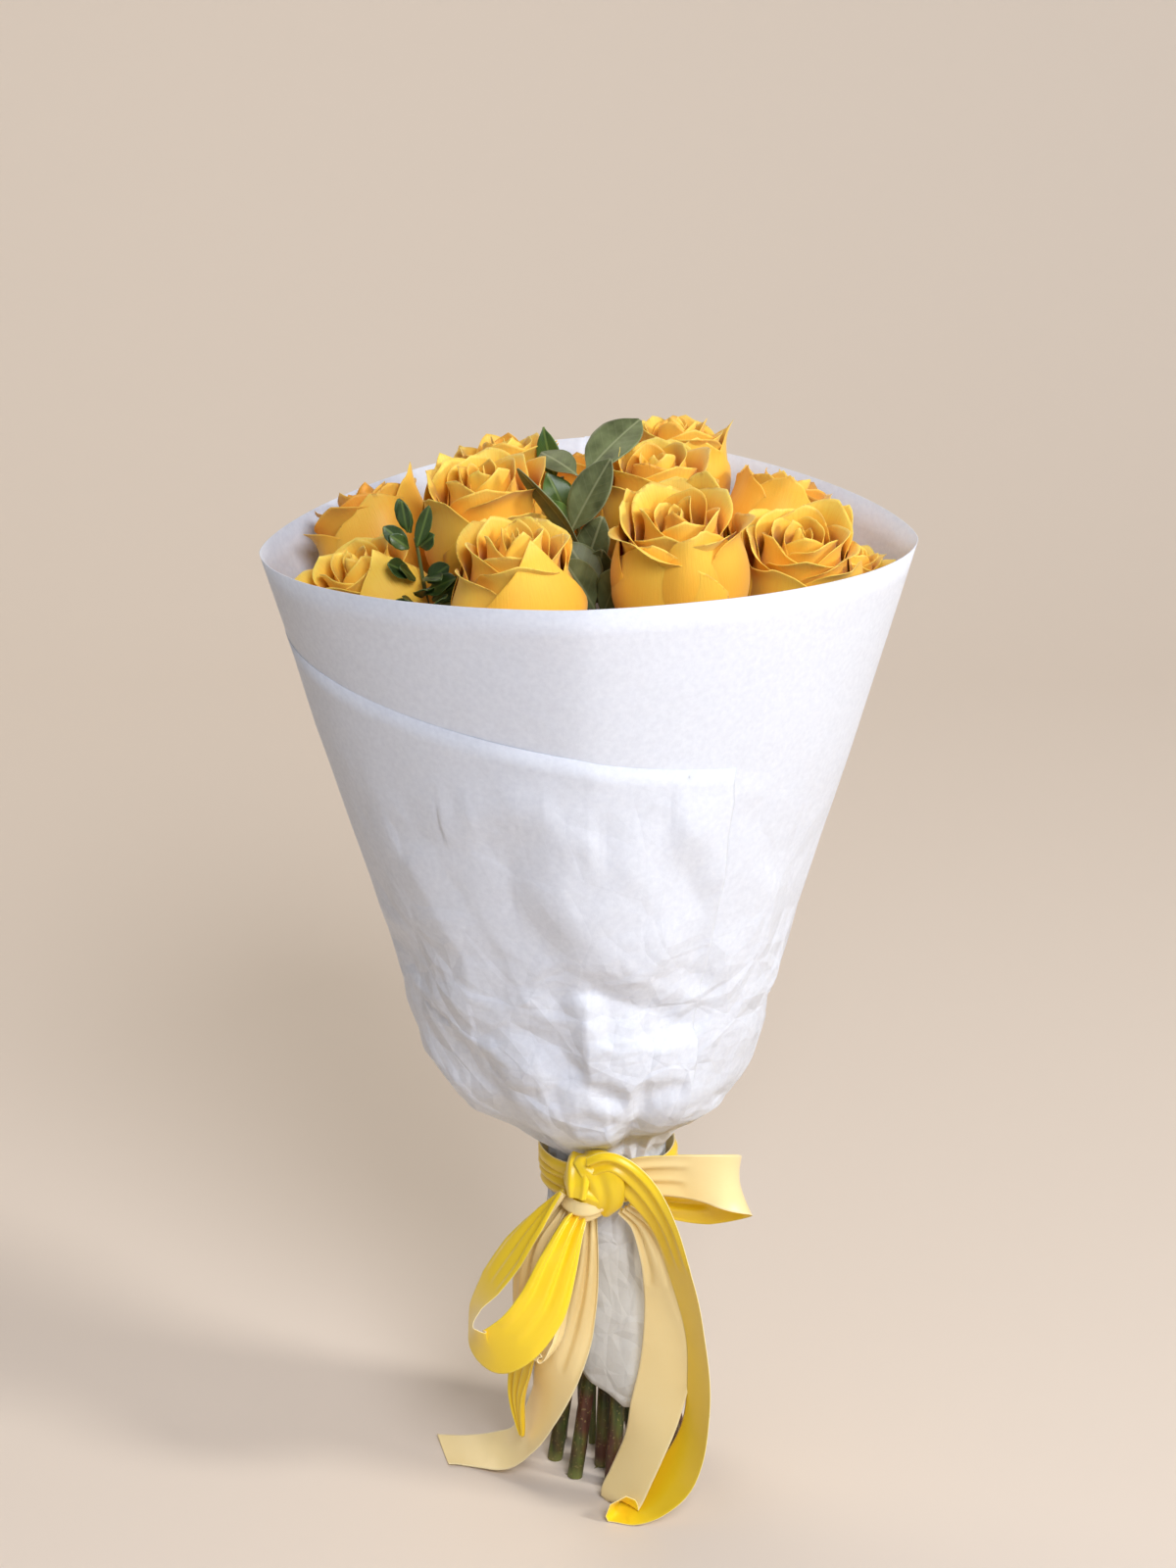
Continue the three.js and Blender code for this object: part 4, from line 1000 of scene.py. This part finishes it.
# centre line and radius from a CAD stem: its rings are level, so equal heights belong together
def stemLine(name):
    points = nodePoints(name)
    order = np.argsort(points[:, 2])
    points = points[order]
    breaks = np.where(np.diff(points[:, 2]) > 0.0012)[0] + 1
    rings = [ring for ring in np.split(points, breaks) if len(ring) >= 5]
    centres = np.array([ring.mean(0) for ring in rings])
    radii = np.array([np.linalg.norm((ring - ring.mean(0))[:, :2], axis=1).mean() for ring in rings])
    return centres, radii


def makeStem(name, material, seed, thorns, tip=None):
    centres, radii = stemLine(name)
    if tip is not None:  # rose stems end in a swollen hip under the bloom
        seat, axes, _, _ = bloomFrame(tip)
        keep = centres[:, 2] < seat[2] - 0.012
        hip = [seat - axes[2] * below for below in (0.0104, 0.007, 0.0035, 0.0004)]
        centres = np.vstack([centres[keep], hip])
        radii = np.concatenate([radii[keep], [0.0029, 0.0031, 0.0048, 0.0044]])
    steps = 90
    line = smoothCurve(centres, steps)
    fat = np.interp(np.linspace(0, len(radii) - 1, steps), np.arange(len(radii)), radii)
    for place in (0.13, 0.31, 0.52, 0.74):  # nodes where leaves were stripped
        near = np.abs(np.linspace(0, 1, steps) - place - 0.03 * math.sin(seed * 3 + place * 20))
        fat = fat * (1 + 0.16 * np.exp(-(near / 0.008) ** 2))
    line[0, 2] = 0.0
    piece = growAlong(stemGrower, name + "_bark", line, fat, {
        "Sides": stemLook["sides"], "Thorns": thorns, "Thorn Size": stemLook["thornSize"],
        "Knobbliness": stemLook["knobbliness"], "Seed": seed, "Surface": material})
    for v in piece.data.vertices:
        v.co.z = max(v.co.z, 0.0)
    rideAs(piece, [name])


stemGrower = stemTree()
for i, stemNumber in enumerate(bloomLooks):
    makeStem("rose_stem_" + stemNumber, roseBark, i + 1, stemLook["thorns"], stemNumber)


for i, sprig in enumerate(("eucalyptus", "ruscus", "lentisk")):
    makeStem(sprig + "_stem", sprigBark, 20 + i, 1)


print("stems done")


# leaves: closed thin blades with a folded midrib, from base to tip
def paintLeaf(name, dark, light, vein, back, roughness, veinEvery, veinSlant, gloss):
    material, tree, shader = newSurface(
        name, Roughness=roughness, IOR=1.45, Subsurface_Weight=0.08, Subsurface_Scale=1.0,
        Subsurface_Radius=(0.0006, 0.001, 0.0003), Coat_Weight=gloss, Coat_Roughness=0.25,
    )
    flat, body, own, edge, below, _ = surfacePlaces(tree)
    cloud = noise(tree, body, 110.0, 4.0)
    green = colourAlong(tree, cloud, [(0.3, dark), (0.7, light)])
    toned = mixColour(tree, times(tree, own, 0.4), green, light)
    # side veins leave the midrib at a slant
    split = addNode(tree, "ShaderNodeSeparateXYZ", {"Vector": flat}).outputs
    sideways = doMath(tree, "ABSOLUTE", split["X"])
    slant = doMath(tree, "SUBTRACT", split["Y"], times(tree, sideways, veinSlant))
    wave = doMath(tree, "SINE", times(tree, slant, 2 * math.pi / veinEvery))
    veins = doMath(tree, "MAXIMUM", times(tree, remap(tree, wave, 0.82, 1.0), 0.14),
                   remap(tree, sideways, 0.0007, 0.0002))
    lined = mixColour(tree, times(tree, veins, 0.6), toned, vein)
    rimmed = mixColour(tree, times(tree, remap(tree, edge, 0.93, 1.0), 0.5), lined, vein)
    height = doMath(tree, "ADD", times(tree, veins, -0.5), cloud)
    finishSurface(tree, shader, mixColour(tree, times(tree, below, 0.6), rimmed, back), height, 0.4, 0.0004)
    return material


eucalyptusLeaf = paintLeaf("eucalyptus leaf, waxy bloom over grey green", "#434A26", "#7C8658", "#A3A87C",
                           "#92996F", 0.55, 0.0042, 0.9, 0.05)


ruscusLeaf = paintLeaf("ruscus leaf, glossy green", "#2B4A1C", "#55752E", "#8CA352", "#5F7B3C",
                       0.38, 0.0022, 2.6, 0.2)


lentiskLeaf = paintLeaf("lentisk leaflet, leathery dark green", "#1D2F12", "#3B5423", "#69803C", "#4E6133",
                        0.42, 0.002, 1.2, 0.15)

leafShapes = {  # share along the blade and share of the full width
    "eucalyptus": [(0, 0.07), (0.07, 0.09), (0.15, 0.42), (0.3, 0.82), (0.5, 1), (0.7, 0.93), (0.86, 0.64),
                   (0.96, 0.28), (1, 0.03)],
    "ruscus": [(0, 0.1), (0.06, 0.22), (0.2, 0.68), (0.42, 1), (0.62, 0.9), (0.8, 0.56), (0.93, 0.18),
               (1, 0.02)],
    "lentisk": [(0, 0.12), (0.08, 0.3), (0.25, 0.8), (0.5, 1), (0.75, 0.84), (0.92, 0.45), (1, 0.05)],
}
sprigBlades = {  # base, tip, facing, width, arch, in millimetres as in the CAD
    "eucalyptus": [((-1, 0.5, 469), (22, 22, 486.5), (-0.45, -0.7, 0.5), 21, 3),
                   ((-7.5, -21, 449), (9.5, -16, 480), (-0.5, -0.8, 0.3), 18, 2),
                   ((-4.5, 1, 468), (-20, 22, 472), (0, -0.5, 0.86), 13, 2),
                   ((-2, -33, 446), (-29, -27, 479), (-0.6, -0.5, -0.45), 15, -2),
                   ((4, -44, 431), (-8.5, -37, 450), (0.4, -0.8, 0.2), 16, 2),
                   ((-3, -21, 428), (6, -19, 456), (-0.3, -0.9, 0.1), 15, 1)],
    "ruscus": [((-14, 26, 460), (-19, 31, 481), (-0.3, -0.9, 0.2), 11, 2),
               ((-9, 4, 449), (-17.5, 9, 467), (0.2, -0.7, 0.7), 15, 2),
               ((-9, -12, 446), (-17, -15, 462), (0.3, -0.6, 0.7), 13, 2),
               ((-4, 12, 446), (-1, 20, 459), (0.2, -0.8, 0.6), 14, 1)],
    "lentisk": [((-73, -36, 454), (-78, -34, 468), (-0.2, -0.9, 0.3), 7, 1),
                ((-74, -39, 449), (-84, -41, 458), (-0.2, -0.8, 0.6), 8, 1),
                ((-69, -39, 449), (-63, -44, 455), (0.2, -0.8, 0.6), 8, 1),
                ((-73, -43, 438), (-82, -50, 445), (0, -0.7, 0.7), 9, 1),
                ((-66, -46, 436), (-57, -49, 444), (0.2, -0.7, 0.7), 9, 1),
                ((-68, -48, 430), (-66, -60, 437), (0, -0.5, 0.9), 9, 1)],
}


def leafGrid(rng, kind, base, tip, facing, width, arch, rows=26, columns=13):
    base, tip, facing = np.array(base) * 0.001, np.array(tip) * 0.001, unit(np.array(facing, dtype=float))
    shape = np.array(leafShapes[kind])
    v = np.linspace(0, 1, rows)
    u = np.linspace(-1, 1, columns)
    crest = (base + tip) / 2 + facing * arch * 0.001
    middle = ((1 - v) ** 2)[:, None] * base + (2 * v * (1 - v))[:, None] * crest + (v ** 2)[:, None] * tip
    tangent = unit(np.gradient(middle, axis=0))
    side = unit(np.cross(facing, tangent))
    normal = np.cross(tangent, side)
    half = np.interp(v, shape[:, 0], shape[:, 1]) * width * 0.0005
    half = np.convolve(np.pad(half, 1, mode="edge"), [0.25, 0.5, 0.25], mode="valid")
    a, b = rng.uniform(0, 6.28, 2)
    fold = 0.16 * np.abs(u[None]) * half[:, None]
    ripple = 0.00035 * np.sin(9 * v[:, None] + a + 2 * np.sign(u)[None]) * u[None] ** 2
    curl = 0.0004 * math.sin(b) * (v[:, None] ** 2) * u[None]
    points = (middle[:, None] + side[:, None] * (u[None, :, None] * half[:, None, None])
              + normal[:, None] * (fold + ripple + curl)[..., None])
    length = np.linalg.norm(tip - base)
    uv = stacked(u[None] * half[:, None], v[:, None] * length)
    mark = stacked(rng.uniform(), np.abs(u)[None], 0 * v[:, None], 1.0)
    return points, uv, mark


# smaller leaves that grow beside a main one, by its kind and place in the list
sideBlades = {
    ("eucalyptus", 4): [((3, -46, 424), (-10, -58, 449), (0.3, -0.8, 0.3), 17, 2),
                        ((6, -44, 420), (14, -62, 446), (-0.4, -0.8, 0.3), 16, 2)],
    ("eucalyptus", 5): [((-1, -20, 420), (-12, -30, 446), (0.3, -0.9, 0.2), 17, 1),
                        ((2, -22, 418), (6, -40, 448), (-0.1, -0.9, 0.3), 17, 2)],
    ("ruscus", 2): [((-10, -14, 432), (-4, -28, 446), (0.1, -0.8, 0.5), 14, 1),
                    ((-12, -16, 430), (-22, -24, 440), (0.1, -0.8, 0.5), 13, 1)],
    ("lentisk", 4): [((-66, -47, 432), (-54, -58, 441), (0.1, -0.7, 0.7), 10, 1),
                     ((-64, -46, 428), (-50, -50, 438), (0.1, -0.7, 0.7), 10, 1),
                     ((-64, -46, 424), (-48, -60, 434), (0, -0.6, 0.8), 11, 1)],
    ("lentisk", 5): [((-69, -50, 426), (-74, -64, 434), (0, -0.6, 0.8), 10, 1),
                     ((-66, -50, 424), (-58, -68, 436), (0, -0.6, 0.8), 11, 1),
                     ((-68, -48, 420), (-80, -56, 430), (0, -0.6, 0.8), 10, 1)],
}


def makeLeaves(kind, material, seed, companions):
    rng = np.random.default_rng(seed)
    for i, blade in enumerate(sprigBlades[kind]):
        base, tip, facing, width, arch = blade
        gather = Gather()
        blades = [blade] + sideBlades.get((kind, i), [])
        for _ in range(companions):
            turn, way = rng.normal(0, 4, 3), np.array(tip) - np.array(base)
            foot = np.array(base) + rng.normal(0, 1.2, 3)
            end = np.array(base) + way * rng.uniform(0.55, 0.8) + turn
            blades.append((foot, end, facing, width * 0.8, arch))
        for one in blades:
            points, uv, mark = leafGrid(rng, kind, *one)
            gather.add(points[:, ::-1], 0.0004, uv[:, ::-1], mark[:, ::-1])
        piece = gather.piece(kind + "_blade_" + str(i + 1), [material])
        rideAs(piece, [kind + "_leaf_" + str(i + 1)])


makeLeaves("eucalyptus", eucalyptusLeaf, 51, 0)
makeLeaves("ruscus", ruscusLeaf, 52, 0)
makeLeaves("lentisk", lentiskLeaf, 53, 1)
print("leaves done")


# twine round the stems, inside the paper
def paintTwine():
    material, tree, shader = newSurface("jute twine, three twisted strands", Roughness=0.9, IOR=1.5,
                                        Sheen_Weight=0.3, Sheen_Roughness=0.6)
    body = addNode(tree, "ShaderNodeTexCoord").outputs["Object"]
    wave = addNode(tree, "ShaderNodeTexWave", {
        "Vector": body, "Scale": 260.0, "Distortion": 2.0, "Detail": 2.0}, bands_direction="DIAGONAL")
    strand = wave.outputs["Fac"]
    tone = colourAlong(tree, strand, [(0.2, "#8A6B3E"), (0.8, "#C4A572")])
    finishSurface(tree, shader, tone, strand, 0.8, 0.0004)
    return material


twineLook = {
    "turns": 5, "radius": 0.0201, "thickness": 0.00085, "centre": 0.009, "low": 0.1462, "high": 0.1538,
}
turns = np.linspace(0, 2 * math.pi * twineLook["turns"], 260)
twineLine = stacked(
    twineLook["centre"] + twineLook["radius"] * np.cos(turns), twineLook["radius"] * np.sin(turns),
    np.linspace(twineLook["low"], twineLook["high"], len(turns)))


twine = growAlong(stemGrower, "twine_turns", twineLine, np.full(len(turns), twineLook["thickness"]), {
    "Sides": 8, "Thorns": 1, "Thorn Size": 0.0004, "Knobbliness": 0.0004, "Seed": 2, "Surface": paintTwine()})


rideAs(twine, ["binding_string"])
print("twine done")
